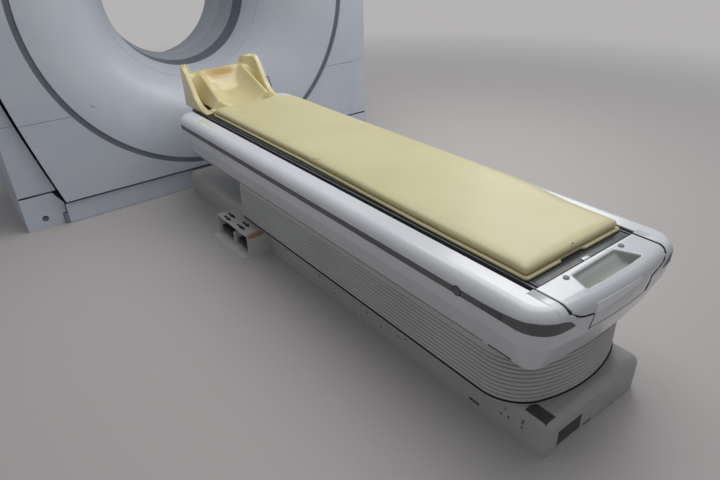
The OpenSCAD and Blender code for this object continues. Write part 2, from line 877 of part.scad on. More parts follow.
// Band let into both sides of the couch body and round its corners
module stripe_band(c) {
    difference() {
        carry_body()
            translate([c - 2, stripe_z[0] + c])
                square([(c > 0) ? 2 - c : 3, stripe_z[1] - stripe_z[0] - 2 * c]);
        run_box(-205 - c, 205 + c, -10, 60, stripe_z[0] - 1, stripe_z[1] + 1);
        run_box(-235 - c, 235 + c, body_d1 - 60, body_d1 + 10, stripe_z[0] - 1, stripe_z[1] + 1);
    }
}

module shell_stripe() {
    color("dimgray") difference() {
        stripe_band(gap);
        at_button() cylinder(h = 30, r = 15.5, center = true, $fn = fine);
    }
}

module button_bezel() {
    color("gray") at_button() difference() {
        translate([0, 0, -7]) cylinder(h = 8.5, r = 15.2, $fn = fine);
        translate([0, 0, -8]) cylinder(h = 12, r = 12, $fn = fine);
    }
}

module side_button() {
    color("dimgray") at_button() translate([0, 0, -7]) cylinder(h = 8, r = 11.6, $fn = fine);
}

board_low = table_z - 28;
board_d1 = body_d1 + 14;
board_half = 235;
deck_half = 212;

// Two tracks on the lifting frame that the table top runs along
module slide_rails() {
    color("silver") mirrored()
        run_box(150, 180, cross_ds[0] - 25, 2350, frame_low + 40 + gap, board_low - 13);
}

module slide_motor() {
    color("dimgray") run_box(-60, 60, 2140, 2275 - gap, frame_low - 55, frame_low + 38);
}

module slide_runners() {
    color("silver") mirrored() for (d = [700, 1300, 1900])
        run_box(146, 184, d, d + 140, board_low - 13 + gap, board_low - gap);
}

// Stiff top that carries the patient, stepped along both edges for the rails
module table_top() {
    color("dimgray") {
        run_box(-board_half, board_half, body_d0 + end_len + gap, board_d1, board_low, board_low + 5);
        run_box(-deck_half, deck_half, body_d0 + end_len + gap, board_d1, board_low + 5, table_z);
    }
}

module accessory_rails() {
    color("gray") mirrored() difference() {
        run_box(deck_half + 1, board_half + 2, body_d0 + end_len + gap, board_d1, board_low + 5 + gap,
            table_z - 1);
        run_box(deck_half + 9, deck_half + 17, 0, board_d1 + 1, table_z - 12, table_z);
    }
}

tray = [[-105, 112], [-131, 41], [138, 51], [110, 117]];
bar_r = 20;

// Moulded end of the table top with a hand hole and a rounded grip bar
module end_cover() {
    color("whitesmoke") difference() {
        union() {
            intersection() {
                body_block();
                translate([0, centred(body_d0 + end_len), 0]) rotate([90, 0, 0])
                    linear_extrude(height = end_len + 20) end_view(0);
            }
            translate([-120, centred(bar_r), table_z - bar_r - 2]) rotate([0, 90, 0])
                cylinder(h = 240, r = bar_r, $fn = fine);
            run_box(-15, 10, body_d0 + end_len - 2, body_d0 + end_len + 0.2, table_z - 12, table_z);
        }
        translate([0, centred(0), table_z - 45]) linear_extrude(height = 60) polygon(tray);
    }
}

module end_cover_caps() {
    color("gray") for (p = [[-129, 114], [141, 114]])
        translate([p[0], centred(p[1]), table_z + gap]) cylinder(h = 2.5, r = 9, $fn = small);
}

pad_top = table_z + 37;
pad_d0 = body_d0 + 165;
rest_d0 = body_d1 - 170;
rest_len = 304;

// Foam mattress, laid slightly off the centre line
module mattress() {
    a = pad_d0;
    b = rest_d0 - 8;
    color("khaki") translate([0, centred(0), table_z + 0.4])
        linear_extrude(height = pad_top - table_z - 0.4)
            polygon([[-222, a], [222, a], [230, a + 10], [240, a + 190], [262, a + 330],
                [273, a + 434], [268, b - 374], [272, b - 186], [270, b - 106], [262, b - 56],
                [240, b - 21], [205, b - 4], [-190, b], [-204, b - 14], [-207, b - 29],
                [-210, (a + b) / 2 + 161], [-227, a + 430], [-230, a + 10]]);
}

rest_d1 = rest_d0 + rest_len;
rest_z = table_z + gap;
wing_in = 221;
wing_out = 233;

// Moulded head holder: base, two side wings, a sloping cradle and a back panel
module headrest() {
    color("khaki") {
        run_box(-wing_out, wing_out, rest_d0 + 6, rest_d1 - 8, rest_z, rest_z + 10);
        mirrored() translate([wing_in, centred(0), table_z]) rotate([90, 0, 90])
            linear_extrude(height = wing_out - wing_in)
                polygon([[rest_d0, gap], [rest_d1, gap], [rest_d1, 150], [rest_d1 - 6, 205],
                    [rest_d1 - 16, 226], [rest_d1 - 30, 232], [rest_d1 - 46, 220],
                    [rest_d1 - 76, 168], [rest_d1 - 124, 104], [rest_d1 - 186, 51],
                    [rest_d1 - 250, 20], [rest_d0, 7]]);
        difference() {
            translate([-140, centred(0), table_z]) rotate([90, 0, 90]) linear_extrude(height = 280)
                polygon([[rest_d0 + 16, 8], [rest_d0 + 16, 24], [rest_d1 - 38, 165],
                    [rest_d1 - 8, 165], [rest_d1 - 8, 8]]);
            translate([0, centred(rest_d0 + 16), table_z + 122]) rotate([28, 0, 0])
                rotate([-90, 0, 0]) translate([0, 0, -150]) cylinder(h = 600, r = 108, $fn = 96);
        }
        run_box(-wing_in, wing_in, rest_d1 - 38, rest_d1 - 8, table_z + 8, table_z + 165);
    }
}

// Bent wire on the right wing
module wire_hook() {
    pts = [[rest_d1 - 87, 94], [rest_d1 - 148, 100], [rest_d1 - 183, 32]];
    color("black") for (i = [0, 1]) {
        a = pts[i];
        b = pts[i + 1];
        n = norm(b - a);
        translate([wing_out + 3, centred(a[0]), table_z + a[1]])
            rotate([atan2(b[1] - a[1], b[0] - a[0]), 0, 0]) rotate([-90, 0, 0])
                cylinder(h = n, r = 2.7, $fn = 24);
        translate([wing_out + 3, centred(b[0]), table_z + b[1]]) sphere(r = 2.9, $fn = 24);
    }
}

sw_x = [-365, -base_half_w - gap];
sw_d = [1663, 1993];
sw_h = 115;
sw_t = 4;
pivot_x = sw_x[1] - 24;
pivot_z = 44;

// Folded steel box on the floor, open towards the operator
module foot_switch_box() {
    color("gainsboro") {
        run_box(sw_x[0] - 35, sw_x[1], sw_d[0] - 6, sw_d[1] + 6, 0, 6);
        run_box(sw_x[0], sw_x[1], sw_d[0], sw_d[1], sw_h - sw_t, sw_h);
        run_box(sw_x[1] - sw_t, sw_x[1], sw_d[0], sw_d[1], 6, sw_h - sw_t);
        difference() {
            union() {
                run_box(sw_x[0], sw_x[1] - sw_t, sw_d[0], sw_d[0] + sw_t, 6, sw_h - sw_t);
                run_box(sw_x[0], sw_x[1] - sw_t, sw_d[1] - sw_t, sw_d[1], 6, sw_h - sw_t);
                run_box(sw_x[0] + 8, sw_x[1] - sw_t, 1822, 1834, 6, 72);
            }
            translate([pivot_x, centred(sw_d[0] - 1), pivot_z]) rotate([-90, 0, 0])
                cylinder(h = sw_d[1] - sw_d[0] + 2, r = 5 + run_fit, $fn = small);
        }
    }
}

module pedal_pivots() {
    color("silver") translate([pivot_x, centred(sw_d[0] + 0.5), pivot_z]) rotate([-90, 0, 0])
        cylinder(h = sw_d[1] - sw_d[0] - 1, r = 5, $fn = small);
}

// Pad and sleeve of one pedal, turning on the pivot rod
module pedal(d0, d1) {
    difference() {
        union() {
            translate([pivot_x, centred(d0), pivot_z]) rotate([-90, 0, 0])
                cylinder(h = d1 - d0, r = 11, $fn = small);
            run_box(sw_x[0] + 12, pivot_x, d0, d1, pivot_z - 4, pivot_z + 11);
            run_box(sw_x[0] + 12, sw_x[0] + 24, d0, d1, pivot_z - 16, pivot_z + 11);
        }
        translate([pivot_x, centred(d0 - 1), pivot_z]) rotate([-90, 0, 0])
            cylinder(h = d1 - d0 + 2, r = 5 + run_fit, $fn = small);
    }
}

module up_pedal() {
    color("black") pedal(1864, 1974);
}

module down_pedal() {
    color("black") pedal(1682, 1792);
}

gantry_base_frame();
gantry_stands();
plinth_panels();
stand_foot_covers();
stand_lower_covers();
stand_upper_covers();
tilt_bearings();
tilt_gearmotor();
tilt_frame();
front_upper_cover();
front_lower_cover();
ring_trim();
dish_cover();
bore_mouth_ring();
bore_dark_band();
scan_window();
bore_rear_funnel();
rear_cover();
top_cover();
round_caps();
main_bearing_outer();
drive_motor();
drive_pulley();
drive_belt();
brush_block();
rotor_drum();
xray_tube();
collimator();
detector_arc();
hv_generator();
data_box();
counterweight();
couch_base();
base_vents();
lift_gearmotor();
columns_outer();
columns_middle();
columns_inner();
bellows_base_frame();
bellows();
bellows_top_frame();
couch_frame();
couch_shell();
shell_stripe();
button_bezel();
side_button();
slide_rails();
slide_motor();
table_top();
slide_runners();
end_cover();
end_cover_caps();
accessory_rails();
mattress();
headrest();
wire_hook();
foot_switch_box();
pedal_pivots();
up_pedal();
down_pedal();
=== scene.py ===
"""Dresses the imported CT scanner: finishes, soft parts, small fittings, studio and camera."""

import json
import logging
import math
from collections.abc import Callable, Iterable
from dataclasses import dataclass, field
from enum import Enum

import bmesh
import bpy
import numpy as np
from mathutils import Matrix, Vector

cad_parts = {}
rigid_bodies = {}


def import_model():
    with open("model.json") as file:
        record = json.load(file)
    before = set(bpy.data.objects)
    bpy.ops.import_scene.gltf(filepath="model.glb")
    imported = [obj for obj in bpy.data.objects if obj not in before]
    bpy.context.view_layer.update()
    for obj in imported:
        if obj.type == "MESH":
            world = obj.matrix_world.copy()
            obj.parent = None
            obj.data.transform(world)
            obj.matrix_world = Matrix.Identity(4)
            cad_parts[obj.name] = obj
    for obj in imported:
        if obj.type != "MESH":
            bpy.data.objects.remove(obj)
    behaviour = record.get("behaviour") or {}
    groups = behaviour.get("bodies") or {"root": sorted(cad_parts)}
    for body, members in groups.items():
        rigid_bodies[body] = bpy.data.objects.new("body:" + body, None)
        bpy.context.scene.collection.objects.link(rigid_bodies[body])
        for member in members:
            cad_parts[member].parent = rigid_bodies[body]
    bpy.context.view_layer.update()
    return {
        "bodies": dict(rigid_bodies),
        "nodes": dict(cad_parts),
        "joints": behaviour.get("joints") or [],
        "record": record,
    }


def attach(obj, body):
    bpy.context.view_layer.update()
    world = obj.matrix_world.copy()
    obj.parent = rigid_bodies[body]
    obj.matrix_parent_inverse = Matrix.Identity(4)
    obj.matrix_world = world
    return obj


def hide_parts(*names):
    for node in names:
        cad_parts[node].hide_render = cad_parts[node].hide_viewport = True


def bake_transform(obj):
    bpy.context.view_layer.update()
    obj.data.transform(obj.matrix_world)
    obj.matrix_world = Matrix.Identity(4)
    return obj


LOG = logging.getLogger("scanner")

Colour = tuple[float, float, float]
Point = tuple[float, float, float]
Pair = tuple[float, float]
Curve = tuple[Pair, ...]
Four = tuple[float, float, float, float]
# x, distance to the couch foot, and the outward normal in the same two directions.
Row = Four
Socket = bpy.types.NodeSocket
Piece = bpy.types.Object

# Place of the couch foot on the frame's y axis, in millimetres.
COUCH_FOOT = -1794.0


def row_point(x: float, d: float, z: float) -> Point:
    """Point in metres from x, distance to the couch foot and height in millimetres."""
    return (x / 1000.0, (d + COUCH_FOOT) / 1000.0, z / 1000.0)


def curve_at(curve: Curve, at: np.ndarray | float) -> np.ndarray | float:
    """Value of a curve of joined points at a place or places."""
    return np.interp(at, *zip(*curve))


def smoothstep(low: float, high: float, value: np.ndarray | float) -> np.ndarray | float:
    """Eased step from 0 at low to 1 at high.

    Args:
        low: Value where the step starts.
        high: Value where it ends.
        value: Values to step.

    Returns:
        Numbers from 0 to 1.
    """
    t = np.clip((value - low) / (high - low), 0.0, 1.0)
    return t * t * (3.0 - 2.0 * t)


class Pattern(Enum):
    """Surface patterns that a finish can carry."""

    PLAIN = "plain"
    BRUSHED = "brushed"
    WEAVE = "weave"
    LEATHER = "leather"


@dataclass
class Graph:
    """Adds nodes to one tree and joins their sockets."""

    tree: bpy.types.NodeTree

    def put(self, entry: Socket, value: object) -> None:
        """Links an input to a socket, or sets its constant.

        Args:
            entry: The input.
            value: A socket or a constant.
        """
        if isinstance(value, Socket):
            self.tree.links.new(value, entry)
        else:
            entry.default_value = value

    def add(self, kind: str, inputs: dict[str | int, object] | None = None,
            out: str | int = 0, **settings: object) -> Socket:
        """Adds a node and fills it in.

        Args:
            kind: Type of the node.
            inputs: A constant or a socket for inputs, by name or number.
            out: Name or number of the output to hand back.
            **settings: Properties of the node.

        Returns:
            The chosen output.
        """
        node = self.tree.nodes.new(kind)
        for key, value in settings.items():
            setattr(node, key, value)
        for key, value in (inputs or {}).items():
            self.put(node.inputs[key], value)
        return node.outputs[out]

    def math(self, operation: str, *values: object) -> Socket:
        """Result of a maths node."""
        return self.add("ShaderNodeMath", dict(enumerate(values)), operation=operation)

    def noise(self, place: Socket, scale: float, detail: float) -> Socket:
        """Noise at a place."""
        return self.add("ShaderNodeTexNoise", {"Vector": place, "Scale": scale, "Detail": detail}, "Fac")

    def mapping(self, place: Socket, **change: Point) -> Socket:
        """Place after a change of scale or a turn."""
        return self.add("ShaderNodeMapping", {"Vector": place, **change}, "Vector")

    def remap(self, value: Socket, source: Pair, target: Pair = (0.0, 1.0)) -> Socket:
        """Value mapped from one range to another, and kept inside it."""
        names = ("Value", "From Min", "From Max", "To Min", "To Max")
        return self.add("ShaderNodeMapRange", dict(zip(names, (value, *source, *target))), "Result")

    def cover(self, share: Socket, under: Socket, colour: Colour) -> Socket:
        """Colour with a second one laid over a share of it."""
        return self.add("ShaderNodeMix", {"Factor": share, "A": under, "B": (*colour, 1.0)},
                        "Result", data_type="RGBA")

    def camera_only(self, usual: Socket, seen: Socket, share: Socket | None = None) -> Socket:
        """Shader that the camera alone sees as another one.

        Args:
            usual: Shader for all other rays.
            seen: Shader for the camera.
            share: How much of it the camera sees; all of it when left out.

        Returns:
            The mixed shader.
        """
        camera = self.add("ShaderNodeLightPath", out="Is Camera Ray")
        fac = camera if share is None else self.math("MULTIPLY", share, camera)
        return self.add("ShaderNodeMixShader", {"Fac": fac, 1: usual, 2: seen})


@dataclass(frozen=True)
class Finish:
    """A procedural finish with mottling, scuffs, a fine surface grain and, for pleats, painted shade in the
    grooves.

    Ranges are pairs of noise or wave values, noises are pairs of scale and detail, and shares say
    how strongly a mark covers the colour.
    """

    name: str
    colour: Colour
    second: Colour
    rough: float
    spread: float = 0.06
    mottle: Pair = (3.0, 4.0)
    mottle_range: Pair = (0.35, 0.68)
    gloss_noise: Pair = (21.0, 6.0)
    grain: float = 900.0
    grain_detail: float = 5.0
    bump: float = 0.05
    bump_depth: float = 0.001
    metallic: float = 0.0
    coat: float = 0.0
    coat_rough: float = 0.12
    scuff: float = 0.0
    scuff_colour: Colour = (0.25, 0.23, 0.20)
    scuff_stretch: Point = (1.0, 0.35, 1.6)
    scuff_noise: Pair = (42.0, 9.0)
    scuff_range: Pair = (0.68, 0.78)
    pattern: Pattern = Pattern.PLAIN
    brush_stretch: Point = (1.0, 0.02, 1.0)
    brush_detail: float = 3.0
    weave_angles: Pair = (45.0, -45.0)
    stain: Colour | None = None
    stain_centre: Point = (0.0, 0.0, 0.0)
    stain_half: Point = (0.1, 0.1, 0.1)
    stain_noise: Pair = (30.0, 5.0)
    stain_range: Pair = (1.5, 1.15)
    stain_share: float = 0.85
    # Painted shade: darker bands at the rib pitch that stand for the shade in the pleat grooves.
    rib_pitch: float = 0.0
    rib_shade_colour: Colour = (0.25, 0.25, 0.25)
    rib_shade_range: Pair = (0.1, 0.9)
    rib_shade_share: float = 0.4

    def material(self) -> bpy.types.Material:
        """Builds the node material.

        Returns:
            The material, made once for each finish.
        """
        found = bpy.data.materials.get(self.name)
        if found:
            return found
        mat = bpy.data.materials.new(self.name)
        mat.use_nodes = True
        graph = Graph(mat.node_tree)
        place = graph.add("ShaderNodeTexCoord", out="Object")
        gloss = graph.remap(graph.noise(place, *self.gloss_noise), (0.0, 1.0),
                            (self.rough - self.spread, self.rough + self.spread))
        shader = mat.node_tree.nodes["Principled BSDF"]
        for key, value in (
                ("Metallic", self.metallic), ("Coat Weight", self.coat), ("Coat Roughness", self.coat_rough),
                ("Base Color", self._colour(graph, place)), ("Roughness", gloss),
                ("Normal", graph.add("ShaderNodeBump", {
                    "Strength": self.bump, "Distance": self.bump_depth,
                    "Height": self._height(graph, place)}, "Normal"))):
            graph.put(shader.inputs[key], value)
        return mat

    def _colour(self, graph: Graph, place: Socket) -> Socket:
        """Mottled colour with the marks and the painted groove shade that the finish asks for.

        Args:
            graph: Graph of the material.
            place: Place on the object.

        Returns:
            The colour.
        """
        ramp = graph.tree.nodes.new("ShaderNodeValToRGB")
        for stop, at, tone in zip(ramp.color_ramp.elements, self.mottle_range, (self.colour, self.second)):
            stop.position = at
            stop.color = (*tone, 1.0)
        graph.put(ramp.inputs["Fac"], graph.noise(place, *self.mottle))
        colour = ramp.outputs["Color"]
        if self.scuff > 0.0:
            rubbed = graph.noise(graph.mapping(place, Scale=self.scuff_stretch), *self.scuff_noise)
            share = graph.remap(rubbed, self.scuff_range, (0.0, self.scuff))
            colour = graph.cover(share, colour, self.scuff_colour)
        # Painted shade in the pleat grooves: darker bands by height at the rib pitch.
        if self.rib_pitch > 0.0:
            level = graph.add("ShaderNodeSeparateXYZ", {"Vector": place}, "Z")
            wave = graph.math("COSINE", graph.math("MULTIPLY", level, 2.0 * math.pi / self.rib_pitch))
            share = graph.remap(wave, self.rib_shade_range, (0.0, self.rib_shade_share))
            colour = graph.cover(share, colour, self.rib_shade_colour)
        if self.stain is not None:
            vector = "ShaderNodeVectorMath"
            away = graph.add(vector, {0: place, 1: self.stain_centre}, operation="SUBTRACT")
            away = graph.add(vector, {0: away, 1: self.stain_half}, operation="DIVIDE")
            size = graph.add(vector, {0: away}, "Value", operation="LENGTH")
            ragged = graph.math("ADD", size, graph.noise(place, *self.stain_noise))
            share = graph.remap(ragged, self.stain_range, (0.0, self.stain_share))
            colour = graph.cover(share, colour, self.stain)
        return colour

    def _height(self, graph: Graph, place: Socket) -> Socket:
        """Height pattern of the finish.

        Args:
            graph: Graph of the material.
            place: Place on the object.

        Returns:
            The height.
        """
        if self.pattern is Pattern.BRUSHED:
            return graph.noise(graph.mapping(place, Scale=self.brush_stretch), self.grain, self.brush_detail)
        if self.pattern is Pattern.WEAVE:
            turned = [graph.mapping(place, Rotation=(0.0, 0.0, math.radians(a))) for a in self.weave_angles]
            return graph.math("MULTIPLY", *[
                graph.add("ShaderNodeTexWave", {"Vector": t, "Scale": self.grain}, "Fac") for t in turned])
        if self.pattern is Pattern.LEATHER:
            return graph.add("ShaderNodeTexVoronoi", {"Vector": place, "Scale": self.grain}, "Distance",
                             feature="DISTANCE_TO_EDGE")
        return graph.noise(place, self.grain, self.grain_detail)


HOUSING = Finish("gantry_paint", (0.58, 0.62, 0.70), (0.63, 0.67, 0.74), 0.34, coat=0.15, scuff=0.2)
SHELL = Finish("shell_gloss", (0.74, 0.76, 0.79), (0.79, 0.80, 0.83), 0.24, coat=0.4, scuff=0.25)
# The end cover's white is painted a little darker than the shell's, as shade for its front face.
COVER = Finish("cover_white", (0.70, 0.72, 0.75), (0.74, 0.76, 0.78), 0.2, coat=0.5, scuff=0.2)
SKIRT = Finish("skirt_grey", (0.50, 0.50, 0.49), (0.56, 0.56, 0.55), 0.5, bump=0.12, scuff=0.3)
# The pleats carry painted shade in their grooves.
PLEATS = Finish("pleat_grey", (0.50, 0.50, 0.49), (0.56, 0.56, 0.55), 0.5, bump=0.12, scuff=0.3,
                rib_pitch=0.0158, rib_shade_colour=(0.24, 0.24, 0.24))
BASE = Finish("base_beige", (0.44, 0.43, 0.42), (0.50, 0.49, 0.47), 0.48, bump=0.15, scuff=0.5)
STRIPE = Finish("stripe_grey", (0.115, 0.11, 0.115), (0.14, 0.135, 0.14), 0.36, bump=0.04)
WINDOW = Finish("window_dark", (0.085, 0.083, 0.088), (0.10, 0.10, 0.105), 0.2, bump=0.02)
RING = Finish("ring_grey", (0.14, 0.16, 0.19), (0.19, 0.21, 0.24), 0.5, bump=0.06)
BAND = Finish("band_grey", (0.15, 0.18, 0.23), (0.19, 0.22, 0.27), 0.42, bump=0.05)
FILM = Finish("window_film", (0.46, 0.50, 0.55), (0.51, 0.55, 0.60), 0.38, coat=0.2, bump=0.03)
GREY = Finish("fitting_grey", (0.17, 0.18, 0.20), (0.21, 0.22, 0.24), 0.45, bump=0.06)
VENT = Finish("vent_grey", (0.09, 0.09, 0.09), (0.12, 0.12, 0.115), 0.5, bump=0.06)
PLATE = Finish("bare_plate", (0.92, 0.93, 0.95), (0.95, 0.96, 0.97), 0.42, metallic=0.55, bump=0.02)
# Darker grey on the white cover: painted shade in the recess of the hand tray.
TRAY_SHADE = Finish("painted_tray_shade", (0.42, 0.43, 0.41), (0.47, 0.48, 0.46), 0.4, bump=0.08, scuff=0.2)
RAIL = Finish("rail_grey", (0.10, 0.10, 0.115), (0.14, 0.14, 0.155), 0.42, metallic=0.3,
              pattern=Pattern.BRUSHED, grain=500.0, bump=0.1)
BOARD = Finish("carbon_board", (0.018, 0.020, 0.026), (0.030, 0.032, 0.040), 0.33, coat=0.3,
               pattern=Pattern.WEAVE, grain=160.0, bump=0.15)
BLACK = Finish("soft_rubber", (0.018, 0.018, 0.019), (0.032, 0.032, 0.033), 0.6, bump=0.2)
# Near-black: painted shade in gaps, slots and a hole, and the print of the switch marks.
SHADE_AND_PRINT_BLACK = Finish("painted_shade_and_print_black", (0.010, 0.010, 0.011), (0.020, 0.020, 0.021), 0.8, bump=0.05)
WORN = Finish("worn_strip_yellow", (0.62, 0.64, 0.40), (0.74, 0.75, 0.62), 0.5, bump=0.1)
# Darker yellow-brown line: painted shade along the mattress crease.
CREASE_SHADE = Finish("painted_crease_shade", (0.30, 0.26, 0.13), (0.36, 0.31, 0.16), 0.6, bump=0.05)
ENAMEL = Finish("frame_enamel", (0.20, 0.22, 0.25), (0.25, 0.27, 0.30), 0.45, bump=0.08, scuff=0.3)
STEEL = Finish("bright_steel", (0.55, 0.56, 0.58), (0.62, 0.63, 0.65), 0.3, metallic=1.0,
               pattern=Pattern.BRUSHED, grain=700.0, bump=0.08)
VINYL = Finish("pad_vinyl", (0.66, 0.60, 0.33), (0.71, 0.65, 0.38), 0.42, coat=0.1,
               pattern=Pattern.LEATHER, grain=520.0, bump=0.12, scuff=0.15,
               scuff_colour=(0.45, 0.37, 0.18))
MOULDED = Finish("holder_moulding", (0.72, 0.62, 0.32), (0.77, 0.68, 0.38), 0.24, coat=0.6,
                 bump=0.06, scuff=0.2, scuff_colour=(0.45, 0.30, 0.10),
                 stain=(0.62, 0.40, 0.12), stain_centre=(-0.020, 0.735, 0.700),
                 stain_half=(0.125, 0.045, 0.055))
BOX_PAINT = Finish("switch_box_paint", (0.60, 0.60, 0.57), (0.66, 0.65, 0.62), 0.42, bump=0.1,
                   scuff=0.4, scuff_colour=(0.35, 0.20, 0.08),
                   stain=(0.45, 0.20, 0.05), stain_centre=(-0.315, -0.131, 0.112),
                   stain_half=(0.050, 0.030, 0.020))
CASING = Finish("casing_dark", (0.09, 0.10, 0.11), (0.13, 0.14, 0.15), 0.5, bump=0.08)

FINISH_NODES: tuple[tuple[Finish, str], ...] = (
    (HOUSING, "front_upper_cover front_lower_cover dish_cover bore_mouth_ring bore_rear_funnel rear_cover "
              "top_cover stand_foot_covers stand_lower_covers stand_upper_covers plinth_panels round_caps"),
    (SHELL, "couch_shell"), (COVER, "end_cover"), (PLEATS, "bellows"), (BASE, "couch_base"),
    (SKIRT, "bellows_top_frame bellows_base_frame"), (STRIPE, "shell_stripe side_button"),
    (GREY, "button_bezel end_cover_caps"), (VENT, "base_vents"),
    (ENAMEL, "gantry_base_frame gantry_stands tilt_frame couch_frame rotor_drum counterweight"),
    (STEEL, "tilt_bearings main_bearing_outer drive_pulley columns_outer columns_middle columns_inner "
            "slide_rails slide_runners pedal_pivots"),
    (BLACK, "drive_belt up_pedal down_pedal brush_block wire_hook"),
    (CASING, "tilt_gearmotor drive_motor lift_gearmotor slide_motor hv_generator data_box detector_arc "
             "collimator xray_tube"),
    (RING, "ring_trim"), (BAND, "bore_dark_band"), (FILM, "scan_window"), (BOARD, "table_top"),
    (RAIL, "accessory_rails"), (BOX_PAINT, "foot_switch_box"), (VINYL, "mattress"), (MOULDED, "headrest"),
)


def add_object(name: str, data: bpy.types.ID) -> Piece:
    """Links a new object at the origin.

    Args:
        name: Name of the object.
        data: Its mesh, lamp or camera.

    Returns:
        The object.
    """
    obj = bpy.data.objects.new(name, data)
    bpy.context.scene.collection.objects.link(obj)
    return obj


def mesh_piece(name: str, verts: Iterable[Point], faces: list[tuple[int, ...]], finish: Finish,
               smooth: bool = True) -> Piece:
    """Makes a mesh object with its faces turned outward.

    Args:
        name: Name of the piece.
        verts: Corner positions in metres.
        faces: Corner indices of each face.
        finish: Finish of the whole piece.
        smooth: Whether faces are shaded smooth.

    Returns:
        The new object.
    """
    mesh = bpy.data.meshes.new(name)
    mesh.from_pydata([tuple(v) for v in verts], [], faces)
    mesh.update()
    bm = bmesh.new()
    bm.from_mesh(mesh)
    bmesh.ops.recalc_face_normals(bm, faces=bm.faces)
    bm.to_mesh(mesh)
    bm.free()
    for polygon in mesh.polygons:
        polygon.use_smooth = smooth
    mesh.materials.append(finish.material())
    return add_object(name, mesh)


def apply_modifiers(obj: Piece) -> None:
    """Replaces an object's mesh by its evaluated mesh and drops its modifiers.

    Args:
        obj: Object to settle.
    """
    graph = bpy.context.evaluated_depsgraph_get()
    graph.update()
    settled = bpy.data.meshes.new_from_object(obj.evaluated_get(graph))
    obj.modifiers.clear()
    obj.data = settled
    for polygon in settled.polygons:
        polygon.use_smooth = True


def rework(piece: Piece, voxel: float = 0.0, passes: int = 0) -> None:
    """Rebuilds a piece of even voxels, smooths it, or both.

    Args:
        piece: Piece to rework.
        voxel: Voxel size in metres; 0 keeps the mesh.
        passes: Rounds of smoothing.
    """
    if voxel:
        even = piece.modifiers.new("even", "REMESH")
        even.mode = "VOXEL"
        even.voxel_size = voxel
    if passes:
        soft = piece.modifiers.new("soften", "SMOOTH")
        soft.factor = 0.5
        soft.iterations = passes
    apply_modifiers(piece)


def loft(name: str, loops: list[list[Point]], finish: Finish, ring: bool = False) -> Piece:
    """Skins a row of closed loops.

    Args:
        name: Name of the piece.
        loops: Loops with the same number of points, in metres.
        finish: Finish of the piece.
        ring: Whether the last loop joins the first.

    Returns:
        The closed piece.
    """
    count, rows = len(loops[0]), len(loops)
    faces = []
    for k in range(rows if ring else rows - 1):
        after = (k + 1) % rows
        for i in range(count):
            j = (i + 1) % count
            faces.append((k * count + i, k * count + j, after * count + j, after * count + i))
    if not ring:
        faces += [tuple(range(count)), tuple((rows - 1) * count + i for i in range(count))]
    return mesh_piece(name, [p for loop in loops for p in loop], faces, finish)


def mesh_box(name: str, low: Point, high: Point, finish: Finish, bevel: float = 0.0012) -> Piece:
    """Makes a small block with rounded edges.

    Args:
        name: Name of the piece.
        low: Lowest corner.
        high: Highest corner.
        finish: Finish of the piece.
        bevel: Radius of its edges.

    Returns:
        The piece.
    """
    (x0, y0, z0), (x1, y1, z1) = low, high
    verts = [(x, y, z) for z in (z0, z1) for x, y in ((x0, y0), (x1, y0), (x1, y1), (x0, y1))]
    faces = [(0, 3, 2, 1), (4, 5, 6, 7), (0, 1, 5, 4), (1, 2, 6, 5), (2, 3, 7, 6), (3, 0, 4, 7)]
    piece = mesh_piece(name, verts, faces, finish)
    mod = piece.modifiers.new("edge", "BEVEL")
    mod.width = bevel
    mod.segments = 3
    apply_modifiers(piece)
    return piece


@dataclass(frozen=True)
class Lamp:
    """A square area lamp: place, size and aim in metres, power in watts."""

    name: str
    place: Point
    size: float
    power: float
    aim: Point = (0.0, 0.0, 0.6)

    def hang(self) -> None:
        """Hangs the lamp and turns it to its aim."""
        data = bpy.data.lights.new(self.name, "AREA")
        data.size = self.size
        data.energy = self.power
        lamp = add_object(self.name, data)
        lamp.location = self.place
        lamp.rotation_euler = (Vector(self.aim) - Vector(self.place)).to_track_quat("-Z", "Y").to_euler()


